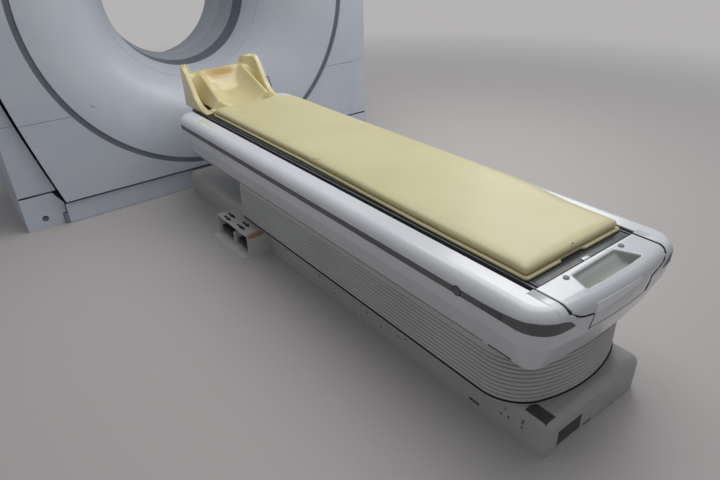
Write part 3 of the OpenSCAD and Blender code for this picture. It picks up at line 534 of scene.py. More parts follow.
@dataclass
class Studio:
    """Floor, soft light and the camera of the photograph.

    The camera angles are in degrees, its place in metres, its focal length in pixels.
    """

    yaw: float = 36.32
    pitch: float = 29.25
    roll: float = -2.17
    focal_px: float = 573.3
    image_width: float = 720.0
    sensor: float = 36.0
    reach: float = 60.0
    place: Point = (-1.3615, -2.406, 1.433)
    floor_size: float = 60.0
    floor_colour: Colour = (0.52, 0.49, 0.48)
    floor_rough: float = 0.55
    fade_range: Pair = (1.9, 6.0)
    fade_colour: Colour = (0.46, 0.45, 0.45)
    sky_colour: Colour = (0.93, 0.96, 1.0)
    sky_strength: float = 0.26
    backdrop: Colour = (0.46, 0.46, 0.47)
    lamps: tuple[Lamp, ...] = (
        Lamp("ceiling_lamp", (0.9, -0.3, 3.5), 3.4, 78.0),
        Lamp("wall_lamp", (2.6, 0.4, 2.4), 1.4, 16.0),
        Lamp("near_lamp", (-3.0, -2.6, 2.6), 2.4, 2.0))

    def camera(self) -> None:
        """Creates the camera and makes it the scene's own."""
        yaw, pitch, roll = (math.radians(a) for a in (self.yaw, self.pitch, self.roll))
        ahead = Vector((math.sin(yaw) * math.cos(pitch), math.cos(yaw) * math.cos(pitch), -math.sin(pitch)))
        right = Vector((math.cos(yaw), -math.sin(yaw), 0.0))
        above = right.cross(ahead)
        turned = math.cos(roll) * right + math.sin(roll) * above
        upward = -math.sin(roll) * right + math.cos(roll) * above
        data = bpy.data.cameras.new("photo_camera")
        data.sensor_width = self.sensor
        data.lens = self.focal_px / self.image_width * data.sensor_width
        data.clip_end = self.reach
        cam = add_object("photo_camera", data)
        cam.matrix_world = Matrix((
            *((turned[i], upward[i], -ahead[i], self.place[i]) for i in range(3)), (0.0, 0.0, 0.0, 1.0)))
        bpy.context.scene.camera = cam

    def floor(self) -> None:
        """Lays the floor, which fades to the pale backdrop for the camera only."""
        half = self.floor_size / 2
        verts = [(-half, -half, 0), (half, -half, 0), (half, half, 0), (-half, half, 0)]
        floor = mesh_piece("floor", verts, [(0, 1, 2, 3)], BOX_PAINT, smooth=False)
        mat = bpy.data.materials.new("floor_vinyl")
        mat.use_nodes = True
        graph, nodes = Graph(mat.node_tree), mat.node_tree.nodes
        shader = nodes["Principled BSDF"]
        graph.put(shader.inputs["Base Color"], (*self.floor_colour, 1.0))
        graph.put(shader.inputs["Roughness"], self.floor_rough)
        place = graph.add("ShaderNodeTexCoord", out="Object")
        away = graph.add("ShaderNodeVectorMath", {0: place}, "Value", operation="LENGTH")
        glow = graph.add("ShaderNodeEmission", {"Color": (*self.fade_colour, 1.0)})
        mixed = graph.camera_only(shader.outputs["BSDF"], glow, graph.remap(away, self.fade_range))
        graph.put(nodes["Material Output"].inputs["Surface"], mixed)
        floor.data.materials[0] = mat

    def sky(self) -> None:
        """Sets a soft grey-white world, and a plain backdrop for the camera only."""
        world = bpy.data.worlds.new("studio")
        world.use_nodes = True
        graph, nodes = Graph(world.node_tree), world.node_tree.nodes
        back = nodes["Background"]
        graph.put(back.inputs["Color"], (*self.sky_colour, 1.0))
        graph.put(back.inputs["Strength"], self.sky_strength)
        pale = graph.add("ShaderNodeBackground", {"Color": (*self.backdrop, 1.0)})
        mixed = graph.camera_only(back.outputs["Background"], pale)
        graph.put(nodes["World Output"].inputs["Surface"], mixed)
        bpy.context.scene.world = world
        bpy.context.scene.view_settings.view_transform = "Standard"

    def build(self) -> None:
        """Makes the whole studio."""
        self.camera()
        self.floor()
        for lamp in self.lamps:
            lamp.hang()
        self.sky()


@dataclass
class NodeTools:
    """Geometry-node trees for what follows a path or repeats."""

    bead_sides: int = 8
    stud_sides: int = 20

    def _tree(self, name: str, sizes: dict[str, float],
              fill: Callable[[Graph, bpy.types.bpy_prop_collection], Socket]) -> bpy.types.NodeTree:
        """Makes a tree with named sizes and a material, once.

        Args:
            name: Name of the tree.
            sizes: Named inputs and their usual values.
            fill: Adds the tree's own nodes and returns their geometry.

        Returns:
            The tree.
        """
        found = bpy.data.node_groups.get(name)
        if found:
            return found
        tree = bpy.data.node_groups.new(name, "GeometryNodeTree")
        for label, way, kind in (
                ("Geometry", "INPUT", "Geometry"), *((size, "INPUT", "Float") for size in sizes),
                ("Material", "INPUT", "Material"), ("Geometry", "OUTPUT", "Geometry")):
            made = tree.interface.new_socket(label, in_out=way, socket_type=f"NodeSocket{kind}")
            if kind == "Float":
                made.default_value = sizes[label]
        graph = Graph(tree)
        given = tree.nodes.new("NodeGroupInput").outputs
        real = graph.add("GeometryNodeRealizeInstances", {"Geometry": fill(graph, given)})
        painted = graph.add("GeometryNodeSetMaterial", {"Geometry": real, "Material": given["Material"]})
        graph.put(tree.nodes.new("NodeGroupOutput").inputs["Geometry"], painted)
        return tree

    def _bead(self, graph: Graph, given: bpy.types.bpy_prop_collection) -> Socket:
        """Bead of round section along a polyline.

        Args:
            graph: Graph of the tree.
            given: Inputs of the tree.

        Returns:
            The mesh.
        """
        path = graph.add("GeometryNodeMeshToCurve", {"Mesh": given["Geometry"]}, "Curve")
        ring = graph.add("GeometryNodeCurvePrimitiveCircle", {
            "Resolution": self.bead_sides, "Radius": given["Radius"]}, "Curve")
        return graph.add("GeometryNodeCurveToMesh", {
            "Curve": path, "Profile Curve": ring, "Fill Caps": True}, "Mesh")

    def _studs(self, graph: Graph, given: bpy.types.bpy_prop_collection) -> Socket:
        """Small round stud on every point.

        Args:
            graph: Graph of the tree.
            given: Inputs of the tree.

        Returns:
            The instances.
        """
        stud = graph.add("GeometryNodeMeshCylinder", {
            "Vertices": self.stud_sides, "Side Segments": 1, "Radius": given["Radius"],
            "Depth": given["Depth"]}, "Mesh")
        turn = graph.add("ShaderNodeCombineXYZ", {"Y": given["Lean"], "X": given["Swing"]}, "Vector")
        return graph.add("GeometryNodeInstanceOnPoints", {
            "Points": given["Geometry"], "Instance": stud, "Rotation": turn}, "Instances")

    def sweep(self) -> bpy.types.NodeTree:
        """Tree that sweeps a round bead along a polyline."""
        return self._tree("bead_sweep", {"Radius": 0.002}, self._bead)

    def scatter(self) -> bpy.types.NodeTree:
        """Tree that puts a small round stud on every point."""
        sizes = {"Radius": 0.004, "Depth": 0.002, "Lean": 0.0, "Swing": 0.0}
        return self._tree("stud_rows", sizes, self._studs)

    def make(self, name: str, runs: list[list[Point]], tree: bpy.types.NodeTree, finish: Finish,
             **sizes: float) -> Piece:
        """Evaluates a tree on runs of points and keeps the plain mesh.

        Args:
            name: Name of the piece.
            runs: Rows of points in metres; a run's points are joined by edges.
            tree: Node tree to use.
            finish: Finish of the piece.
            **sizes: Values of the tree's named inputs, in lower case.

        Returns:
            The finished mesh piece.
        """
        edges, first = [], 0
        for run in runs:
            edges += [(first + i, first + i + 1) for i in range(len(run) - 1)]
            first += len(run)
        mesh = bpy.data.meshes.new(name)
        mesh.from_pydata([p for run in runs for p in run], edges, [])
        obj = add_object(name, mesh)
        mod = obj.modifiers.new("nodes", "NODES")
        mod.node_group = tree
        for item in tree.interface.items_tree:
            if item.item_type != "SOCKET" or item.in_out != "INPUT":
                continue
            if item.name == "Material":
                mod[item.identifier] = finish.material()
            elif item.name.lower() in sizes:
                mod[item.identifier] = float(sizes[item.name.lower()])
        apply_modifiers(obj)
        if not obj.data.materials:
            obj.data.materials.append(finish.material())
        return obj

    def line(self, name: str, runs: list[list[Point]], finish: Finish, radius: float, body: str) -> Piece:
        """Sweeps a bead along runs and makes it ride on a body."""
        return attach(self.make(name, runs, self.sweep(), finish, radius=radius), body)

    def studs(self, name: str, points: list[Point], finish: Finish, **sizes: float) -> Piece:
        """Puts a stud on every point."""
        return self.make(name, [[p] for p in points], self.scatter(), finish, **sizes)


@dataclass
class CouchPlan:
    """Bowed plan and side profile of the couch body, in millimetres."""

    half: float = 345.0
    corner: float = 90.0
    foot_centre: Pair = (255.0, 109.0)
    head_d: float = 2414.0
    bow: float = 2011.0
    bow_d: float = 2013.0
    corner_steps: int = 12
    side_step: float = 40.0
    shoulder_z: float = 513.0
    shoulder_r: float = 40.0
    rim_z: float = 487.0
    waist_z: float = 432.0
    waist_in: float = 10.0
    keel_in: float = 37.0
    keel_drop: float = 98.0

    def offset(self, z: float) -> float:
        """How far the section stands outside the rim at a height.

        Args:
            z: Height.

        Returns:
            The distance, negative inside the rim.
        """
        if z > self.shoulder_z:
            rise = z - self.shoulder_z
            return -self.shoulder_r + math.sqrt(max(0.0, self.shoulder_r ** 2 - rise ** 2))
        if z >= self.rim_z:
            return 0.0
        if z >= self.waist_z:
            return -self.waist_in * (self.rim_z - z) / (self.rim_z - self.waist_z)
        return -self.waist_in - self.keel_in * (self.waist_z - z) / self.keel_drop

    def left_path(self, stop_x: float, d_end: float, step: float = 8.0) -> list[Row]:
        """Rim rows on the left side, from the foot towards the head.

        Args:
            stop_x: Where the path starts on the foot bow (negative x).
            d_end: How far along the side it goes.
            step: Spacing of the points.

        Returns:
            The rows.
        """
        cx, cd = self.foot_centre
        rows = []
        tangent = math.atan2(cx, self.bow_d - cd)
        start = math.asin(-stop_x / self.bow) if stop_x < 0 else 0.0
        n = max(2, int((tangent - start) * self.bow / step))
        for i in range(n + 1):
            t = start + (tangent - start) * i / n
            rows.append((-self.bow * math.sin(t), self.bow_d - self.bow * math.cos(t),
                         -math.sin(t), -math.cos(t)))
        n = int((math.pi / 2 - tangent) * self.corner / step)
        for i in range(1, n + 1):
            t = tangent + (math.pi / 2 - tangent) * i / n
            rows.append((-cx - self.corner * math.sin(t), cd - self.corner * math.cos(t),
                         -math.sin(t), -math.cos(t)))
        end = min(d_end, self.head_d - self.corner)
        n = int((end - cd) / self.side_step)
        return rows + [(-self.half, cd + (end - cd) * i / n, -1.0, 0.0) for i in range(1, n + 1)]

    def full_path(self, stop_x: float) -> list[Row]:
        """Rim rows from the left end of the foot bow round the head to its right end.

        Args:
            stop_x: Where the path starts on the foot bow (negative x).

        Returns:
            The rows.
        """
        half = self.left_path(stop_x, self.head_d)
        cx, cd = self.half - self.corner, self.head_d - self.corner
        for i in range(1, self.corner_steps + 1):
            t = math.pi / 2 * i / self.corner_steps
            half.append((-cx - self.corner * math.cos(t), cd + self.corner * math.sin(t),
                         -math.cos(t), math.sin(t)))
        return half + [(-x, d, -nx, nd) for x, d, nx, nd in reversed(half)]


@dataclass
class Stripe:
    """Dark stripe round the couch body with a pointed end on each side of the foot.

    The curves give heights by the distance to the stripe's end, all in millimetres.
    """

    plan: CouchPlan = field(default_factory=CouchPlan)
    proud: float = 0.4
    depth: float = 3.4
    slices: int = 6
    upper: Curve = (
        (0.0, 492.6), (8.0, 500.0), (22.0, 512.0), (45.0, 520.0), (85.0, 524.0), (130.0, 524.5),
        (185.0, 519.0), (235.0, 512.5), (300.0, 510.0))
    lower: Curve = ((0.0, 491.6), (8.0, 488.6), (30.0, 487.0), (300.0, 487.0))
    tip_x: float = -215.0
    groove_x: Pair = (-262.0, -204.9)
    groove_z: Pair = (486.4, 510.6)
    window_d: Pair = (150.0, 222.0)
    window_z: Pair = (488.5, 508.5)

    def section(self, row: Row, low: float, high: float, proud: float) -> list[Point]:
        """Closed section of a strip that follows the body between two heights.

        Args:
            row: Row of the plan.
            low: Lower height.
            high: Upper height.
            proud: How far the strip stands out.

        Returns:
            The section's points.
        """
        x, d, nx, nd = row
        zs = [low + (high - low) * i / self.slices for i in range(self.slices + 1)]
        outer = [(self.plan.offset(z) + proud, z) for z in zs]
        inner = [(self.plan.offset(z) - self.depth, z) for z in reversed(zs)]
        return [row_point(x + nx * o, d + nd * o, z) for o, z in outer + inner]

    def build(self) -> list[Piece]:
        """Builds the stripe, the fillers of its groove, and the dark window.

        Returns:
            The pieces.
        """
        rows = self.plan.full_path(self.tip_x)
        run = np.concatenate([[0.0], np.cumsum([math.dist(a[:2], b[:2]) for a, b in zip(rows, rows[1:])])])
        ends = np.minimum(run, run[-1] - run)
        spans = zip(rows, curve_at(self.lower, ends), curve_at(self.upper, ends))
        stripe = loft("body_stripe", [self.section(r, a, b, self.proud) for r, a, b in spans], STRIPE)
        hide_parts("shell_stripe")
        pieces = [stripe]
        path = [r for r in self.plan.left_path(self.groove_x[1], 60.0, 6.0) if r[0] > self.groove_x[0]]
        for side, tag in ((-1, "left"), (1, "right")):
            turned = [(-side * x, d, -side * nx, nd) for x, d, nx, nd in path]
            loops = [self.section(r, *self.groove_z, 0.1) for r in turned]
            pieces.append(loft(f"groove_filler_{tag}", loops, SHELL))
        window = [(-self.plan.half, d, -1.0, 0.0) for d in np.linspace(*self.window_d, 6)]
        pieces.append(loft("stripe_window", [self.section(r, *self.window_z, 0.8) for r in window], WINDOW))
        for piece in pieces:
            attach(piece, "lifting_body")
        return pieces


@dataclass
class PleatedSkirt:
    """Rubber skirt of rounded level ribs that stretches between the base and the body.

    Lengths are in millimetres; the rib is pairs of depth and height in shares of groove and pitch.
    """

    half: float = 291.0
    head_d: float = 1888.0
    head_r: float = 72.0
    foot_centre: Pair = (132.0, 245.0)
    foot_r: float = 159.0
    bow: float = 534.0
    bow_d: float = 596.0
    low: float = 142.0
    high: float = 300.0
    ribs: int = 10
    groove: float = 9.0
    inset: float = 0.3
    wall: float = 13.0
    side_steps: int = 30
    rib: Curve = ((-1.0, 0.0), (-0.55, 0.06), (-0.18, 0.16), (-0.03, 0.32), (0.0, 0.5), (-0.03, 0.68),
                  (-0.18, 0.84), (-0.55, 0.94))
    blend_y: float = -0.8

    def arc(self, centre: Pair, radius: float, start: float, end: float, steps: int) -> list[Row]:
        """Rows on an arc.

        Args:
            centre: Centre of the arc.
            radius: Radius of the arc.
            start: First angle from the +x axis, in degrees.
            end: Last angle.
            steps: Number of steps.

        Returns:
            Rows of x, d and outward normal.
        """
        turns = [math.radians(start + (end - start) * i / steps) for i in range(steps + 1)]
        return [(centre[0] + radius * math.cos(t), centre[1] + radius * math.sin(t), math.cos(t), math.sin(t))
                for t in turns]

    def plan(self) -> list[Row]:
        """Closed plan of the skirt.

        Returns:
            Rows of x, d and outward normal.
        """
        cx, cd = self.foot_centre
        lean = math.degrees(math.atan2(self.bow_d - cd, cx))
        hx, hd = self.half - self.head_r, self.head_d - self.head_r
        shares = [i / self.side_steps for i in range(1, self.side_steps)]
        rows = self.arc((-cx, cd), self.foot_r, -180.0, -180.0 + lean, 14)
        rows += self.arc((0.0, self.bow_d), self.bow, -180.0 + lean, -lean, 30)[1:-1]
        rows += self.arc((cx, cd), self.foot_r, -lean, 0.0, 14)
        rows += [(self.half, cd + (hd - cd) * s, 1.0, 0.0) for s in shares]
        rows += self.arc((hx, hd), self.head_r, 0.0, 90.0, 10)
        rows += self.arc((-hx, hd), self.head_r, 90.0, 180.0, 10)
        return rows + [(-self.half, hd + (cd - hd) * s, -1.0, 0.0) for s in shares]

    def build(self) -> Piece:
        """Builds the skirt in place of the CAD bellows.

        Returns:
            The skirt.
        """
        pitch = (self.high - self.low) / self.ribs
        outer = [(self.groove * o - self.inset, self.low + (k + z) * pitch)
                 for k in range(self.ribs) for o, z in self.rib]
        outer.append((-self.groove - self.inset, self.high))
        inner = [(-self.wall, z) for z in np.linspace(self.high, self.low, 24)]
        rows = self.plan()
        loops = [[row_point(x + nx * o, d + nd * o, z) for x, d, nx, nd in rows] for o, z in outer + inner]
        skirt = loft("pleated_skirt", loops, PLEATS, ring=True)
        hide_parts("bellows")
        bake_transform(skirt)
        return skirt


@dataclass
class CouchLines:
    """Painted shade lines in the gaps, and lips and small fittings along the couch, in millimetres."""

    plan: CouchPlan = field(default_factory=CouchPlan)
    skirt: PleatedSkirt = field(default_factory=PleatedSkirt)
    tools: NodeTools = field(default_factory=NodeTools)
    gap_z: float = 341.0
    gap_d: Pair = (243.0, 2330.0)
    slot_d: Pair = (139.0, 222.0)
    lip_z: float = 470.0
    lip_d: Pair = (275.0, 345.0)
    button: Point = (-345.6, 316.0, 499.5)
    button_r: float = 15.0
    skirt_reach: float = 187.0
    skirt_z: float = 143.0
    screw_x: float = -250.6
    screws: Curve = (
        (105, 84), (105, 66), (170, 92), (185, 60), (620, 96), (640, 74), (900, 100), (905, 80),
        (960, 92), (1180, 88), (1210, 70), (1480, 92), (1500, 72), (1740, 84), (1760, 66))

    def build(self) -> list[Piece]:
        """Builds the lines and fittings of the couch.

        Returns:
            The pieces.
        """
        pieces = []
        edge = self.plan.offset(self.gap_z) - 0.9
        lip_x = self.plan.half + 1.0
        for side, tag in ((-1, "left"), (1, "right")):
            # The gap and slot lines are painted shade under the shell's lower edge.
            for name, x, (start, end), z, count, finish, radius in (
                    ("shell_gap_shade", side * (self.plan.half + edge), self.gap_d, self.gap_z, 40, SHADE_AND_PRINT_BLACK, 0.0021),
                    ("shell_slot_shade", side * (self.plan.half + edge), self.slot_d, self.gap_z, 5, SHADE_AND_PRINT_BLACK, 0.0030),
                    ("button_plate", side * lip_x + side * self.plan.offset(self.lip_z), self.lip_d, self.lip_z,
                     4, PLATE, 0.0018)):
                run = [row_point(x, d, z) for d in np.linspace(start, end, count)]
                pieces.append(self.tools.line(f"{name}_{tag}", [run], finish, radius, "lifting_body"))
        # Painted shade in the gap round the side button.
        x, d, z = self.button
        ring = [row_point(x, d + self.button_r * math.cos(t), z + self.button_r * math.sin(t))
                for t in np.linspace(0, 2 * math.pi, 41)]
        pieces.append(self.tools.line("button_ring_shade", [ring], SHADE_AND_PRINT_BLACK, 0.0016, "lifting_body"))
        pieces.append(self.skirt_gap_shade_line())
        screws = [row_point(self.screw_x, d, z) for d, z in self.screws]
        dots = [row_point(-308, 2270, 551.6), row_point(-303, 2175, 553.2)]
        pieces += [
            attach(self.tools.studs("base_side_screws", screws, GREY, radius=0.0042, depth=0.0016,
                                     lean=math.pi / 2), "floor_base"),
            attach(self.tools.studs("shell_head_screws", dots, GREY, radius=0.0036, depth=0.0012, lean=0.0),
                    "lifting_body")]
        strip = mesh_box("worn_strip", row_point(-290, 2085, 552.7), row_point(-276, 2200, 553.5), WORN, 0.0003)
        return pieces + [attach(strip, "lifting_body")]

    def skirt_gap_shade_line(self) -> Piece:
        """Painted shade line in the gap round the foot of the pleated skirt.

        Returns:
            The line.
        """
        cx, cd = self.skirt.foot_centre
        bow, foot_r = self.skirt.bow, self.skirt.foot_r
        middle = []
        for i in range(31):
            x = (-0.5 + i / 30) * 2 * self.skirt_reach
            middle.append((x, self.skirt.bow_d - math.sqrt(bow ** 2 - x ** 2)))
        lean = math.acos((self.skirt.bow_d - cd) / (bow - foot_r))
        half = [(-self.skirt.half, d) for d in np.linspace(1820.0, 260.0, 24)]
        for i in range(12, 0, -1):
            t = lean + (math.pi / 2 - lean) * i / 12
            half.append((-cx - foot_r * math.sin(t), cd - foot_r * math.cos(t)))
        whole = half + middle + [(-x, d) for x, d in reversed(half)]
        run = [row_point(x * 1.004, d - 0.5, self.skirt_z) for x, d in whole]
        return self.tools.line("skirt_gap_shade", [run], SHADE_AND_PRINT_BLACK, 0.0028, "floor_base")


@dataclass
class EndCover:
    """Moulded end of the table top: boat-shaped underside, hand tray with painted shade, grip and plate.

    Lengths are in millimetres; d runs from the couch foot.
    """

    plan: CouchPlan = field(default_factory=CouchPlan)
    top: float = 553.0
    back: float = 136.0
    keel: Curve = (
        (0, 443), (141.9, 443), (142, 499), (168, 503), (194, 510), (214, 520), (229, 532), (236, 544),
        (237.3, 551.5))
    tray_depth: float = 36.0
    tray_sides: tuple[Four, Four] = ((131.0, 41.0, 26.0, 71.0), (138.0, 51.0, 28.0, 66.0))
    tray_front: Point = (33.0, 9.0, 131.0)
    tray_rear: Pair = (114.5, 0.023)
    gap: float = 4.5
    voxel: float = 0.0028
    plate_x: Pair = (-141.0, 80.0)
    plate_z: tuple[Pair, Pair] = ((495.0, 530.0), (511.0, 526.0))
    gap_x: float = 240.3
    gap_keel: Curve = ((239.6, 545.0), (232.5, 532.5), (216.5, 520.5), (196.0, 510.5), (169.0, 504.0),
                       (144.5, 500.5), (143.8, 480.0), (143.8, 444.0))
    lip_outer: float = 238.0
    lip_low: float = 511.0
    lip_thick: float = 7.0

    def front_d(self, x: float, z: float, proud: float = 0.0) -> float:
        """Place of the body surface towards the foot.

        Args:
            x: Distance to the middle.
            z: Height.
            proud: How far outside the surface.

        Returns:
            The distance to the couch foot.
        """
        e = -self.plan.offset(z) - proud
        ax = abs(x)
        cx, cd = self.plan.foot_centre
        if ax > cx:
            return cd - math.sqrt(max(0.0, (self.plan.corner - e) ** 2 - (ax - cx) ** 2))
        return self.plan.bow_d - math.sqrt((self.plan.bow - e) ** 2 - x * x)

    def tray(self, x: float, d: float) -> float:
        """Depth of the hand tray.

        Each side edge is the |x| it passes at a distance d, and its slant as x over d. The front
        edge is a place and a bow, and the rear edge a place and a slant.

        Args:
            x: Distance to the middle.
            d: Distance to the couch foot.

        Returns:
            The depth.
        """
        side = min((reach - way * x) - (d - at) * run / rise
                   for (reach, at, run, rise), way in zip(self.tray_sides, (-1.0, 1.0)))
        place, bow, span = self.tray_front
        front = d - (place + bow * (x / span) ** 2)
        rear = (self.tray_rear[0] + x * self.tray_rear[1]) - d
        slope = 0.35 * smoothstep(-1.0, 4.0, rear) + 0.65 * smoothstep(0.0, 48.0, rear)
        return float(self.tray_depth * smoothstep(-1.0, 5.0, side) * (smoothstep(-1.0, 6.0, front) * slope))

    def section(self, x: float) -> list[Point]:
        """Closed section across the cover at one x.

        Args:
            x: Distance to the middle.

        Returns:
            The section's points.
        """
        low = float(curve_at(self.keel, abs(x)))
        outer = [(self.front_d(x, z), z) for z in np.linspace(low, self.top, 22)]
        upper = [(d, max(low + 0.5, self.top - self.tray(x, d)))
                 for d in np.linspace(outer[-1][0] + 1.0, self.back, 44)]
        return [row_point(x, d, z) for d, z in outer + upper + [(self.back, low)]]

    def build(self) -> list[Piece]:
        """Builds the cover, its plate and tab, and the lips of the shell beside it.

        Returns:
            The pieces.
        """
        xs = np.concatenate([[-237.2, -236.4], np.linspace(-235.0, 235.0, 158), [236.4, 237.2]])
        cover = loft("end_cover_shell", [self.section(float(x)) for x in xs], COVER)
        rework(cover, self.voxel, 5)
        # Tray faces take the darker grey: painted shade in the hand tray.
        cover.data.materials.append(TRAY_SHADE.material())
        for polygon in cover.data.polygons:
            x, y, z = (1000.0 * c for c in polygon.center)
            if z < self.top - 2.5 and self.tray(x, y - COUCH_FOOT) > 2.0:
                polygon.material_index = 1
        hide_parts("end_cover")
        plate = self.plate()
        tab = mesh_box("light_tab", row_point(-16, 134, 551), row_point(14, 146, 556), COVER)
        pieces = [cover, plate, tab]
        for piece in pieces:
            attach(piece, "sliding_top")
        return [*pieces, self.lip(-1), self.lip(1), self.gap_shade_line()]

    def plate(self) -> Piece:
        """Bare plate on the grip, which narrows from left to right.

        Returns:
            The plate.
        """
        stripe, loops = Stripe(), []
        (low, high), (low_end, high_end) = self.plate_z
        start, end = self.plate_x
        for x in np.linspace(start, end, 24):
            t, share = math.asin(x / self.plan.bow), (x - start) / (end - start)
            row = (x, self.plan.bow_d - self.plan.bow * math.cos(t), math.sin(t), -math.cos(t))
            loops.append(stripe.section(
                row, low + (low_end - low) * share, high + (high_end - high) * share, 0.9))
        return loft("bare_plate", loops, PLATE)

    def gap_shade_line(self) -> Piece:
        """Painted shade line in the gap between the cover and the shell.

        Returns:
            The line.
        """
        runs = []
        for side in (-1, 1):
            run = [row_point(side * self.gap_x, d, 551.6) for d in np.linspace(self.back, 62.0, 8)]
            run += [row_point(side * x, self.front_d(x, z) + 0.8, z)
                    for x, z in ((self.gap_x, 551.5), (self.gap_x, 549.0), *self.gap_keel)]
            runs.append(run)
        return NodeTools().line("cover_gap_shade", runs, SHADE_AND_PRINT_BLACK, 0.0021, "sliding_top")

    def lip(self, side: int) -> Piece:
        """Rounded lip of the shell beside the cover, a narrow gap away from it.

        Args:
            side: -1 for the left lip, 1 for the right one.

        Returns:
            The lip.
        """
        edge = self.lip_outer + self.gap
        loops = []
        for ax in (217.0, 222.0, 228.0, 234.0, self.lip_outer, edge - 0.1, edge,
                   247.0, 252.0, 256.0, 260.0, 264.0, 268.0, 272.0):
            inner = ax >= edge
            high = self.top + 0.25 if inner else float(curve_at(self.keel, ax + self.gap)) - 3.5
            if ax + self.gap > self.keel[-1][0] and not inner:
                high = 530.0
            outer = [(self.front_d(ax, z, 0.2), z) for z in np.linspace(self.lip_low, high, 12)]
            last = outer[-1][0]
            far = self.back + 0.5 if inner else last + 3.0
            under = high - self.lip_thick
            loop = outer + [(far, high), (far, under), (last + 5.0, under), (outer[0][0] + 12.0, self.lip_low)]
            loops.append([row_point(side * ax, d, z) for d, z in loop])
        name = "shell_lip_left" if side < 0 else "shell_lip_right"
        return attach(loft(name, loops, SHELL), "lifting_body")


@dataclass
class FootSwitchMarks:
    """Direction marks on the top plate of the foot switch box, in millimetres."""

    top: float = 115.0
    sunk: float = 0.4
    thick: float = 0.6
    arrow: Curve = ((-5.5, -38), (5.5, -38), (5.5, 4), (13, 4), (0, 38), (-13, 4), (-5.5, 4))
    bar: Curve = ((-5, -40), (5, -40), (5, -22), (9, -22), (9, 8), (5, 8), (5, 40), (-5, 40), (-5, 8),
                  (-9, 8), (-9, -22), (-5, -22))

    def build(self) -> Piece:
        """Builds the four marks as one piece.

        Returns:
            The piece.
        """
        verts: list[Point] = []
        faces: list[tuple[int, ...]] = []
        for shape, x, d, way in ((self.bar, -314, 1926, 1), (self.arrow, -345, 1909, -1),
                                 (self.arrow, -305, 1784, -1), (self.bar, -337, 1778, 1)):
            n, first = len(shape), len(verts)
            second = first + n
            for z in (self.top - self.sunk, self.top + self.thick):
                verts += [row_point(x + a, d + way * b, z) for a, b in shape]
            faces += [tuple(range(first, second)), tuple(range(second, second + n))]
            faces += [(first + i, first + (i + 1) % n, second + (i + 1) % n, second + i) for i in range(n)]
        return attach(mesh_piece("switch_arrows", verts, faces, SHADE_AND_PRINT_BLACK, smooth=False), "floor_base")


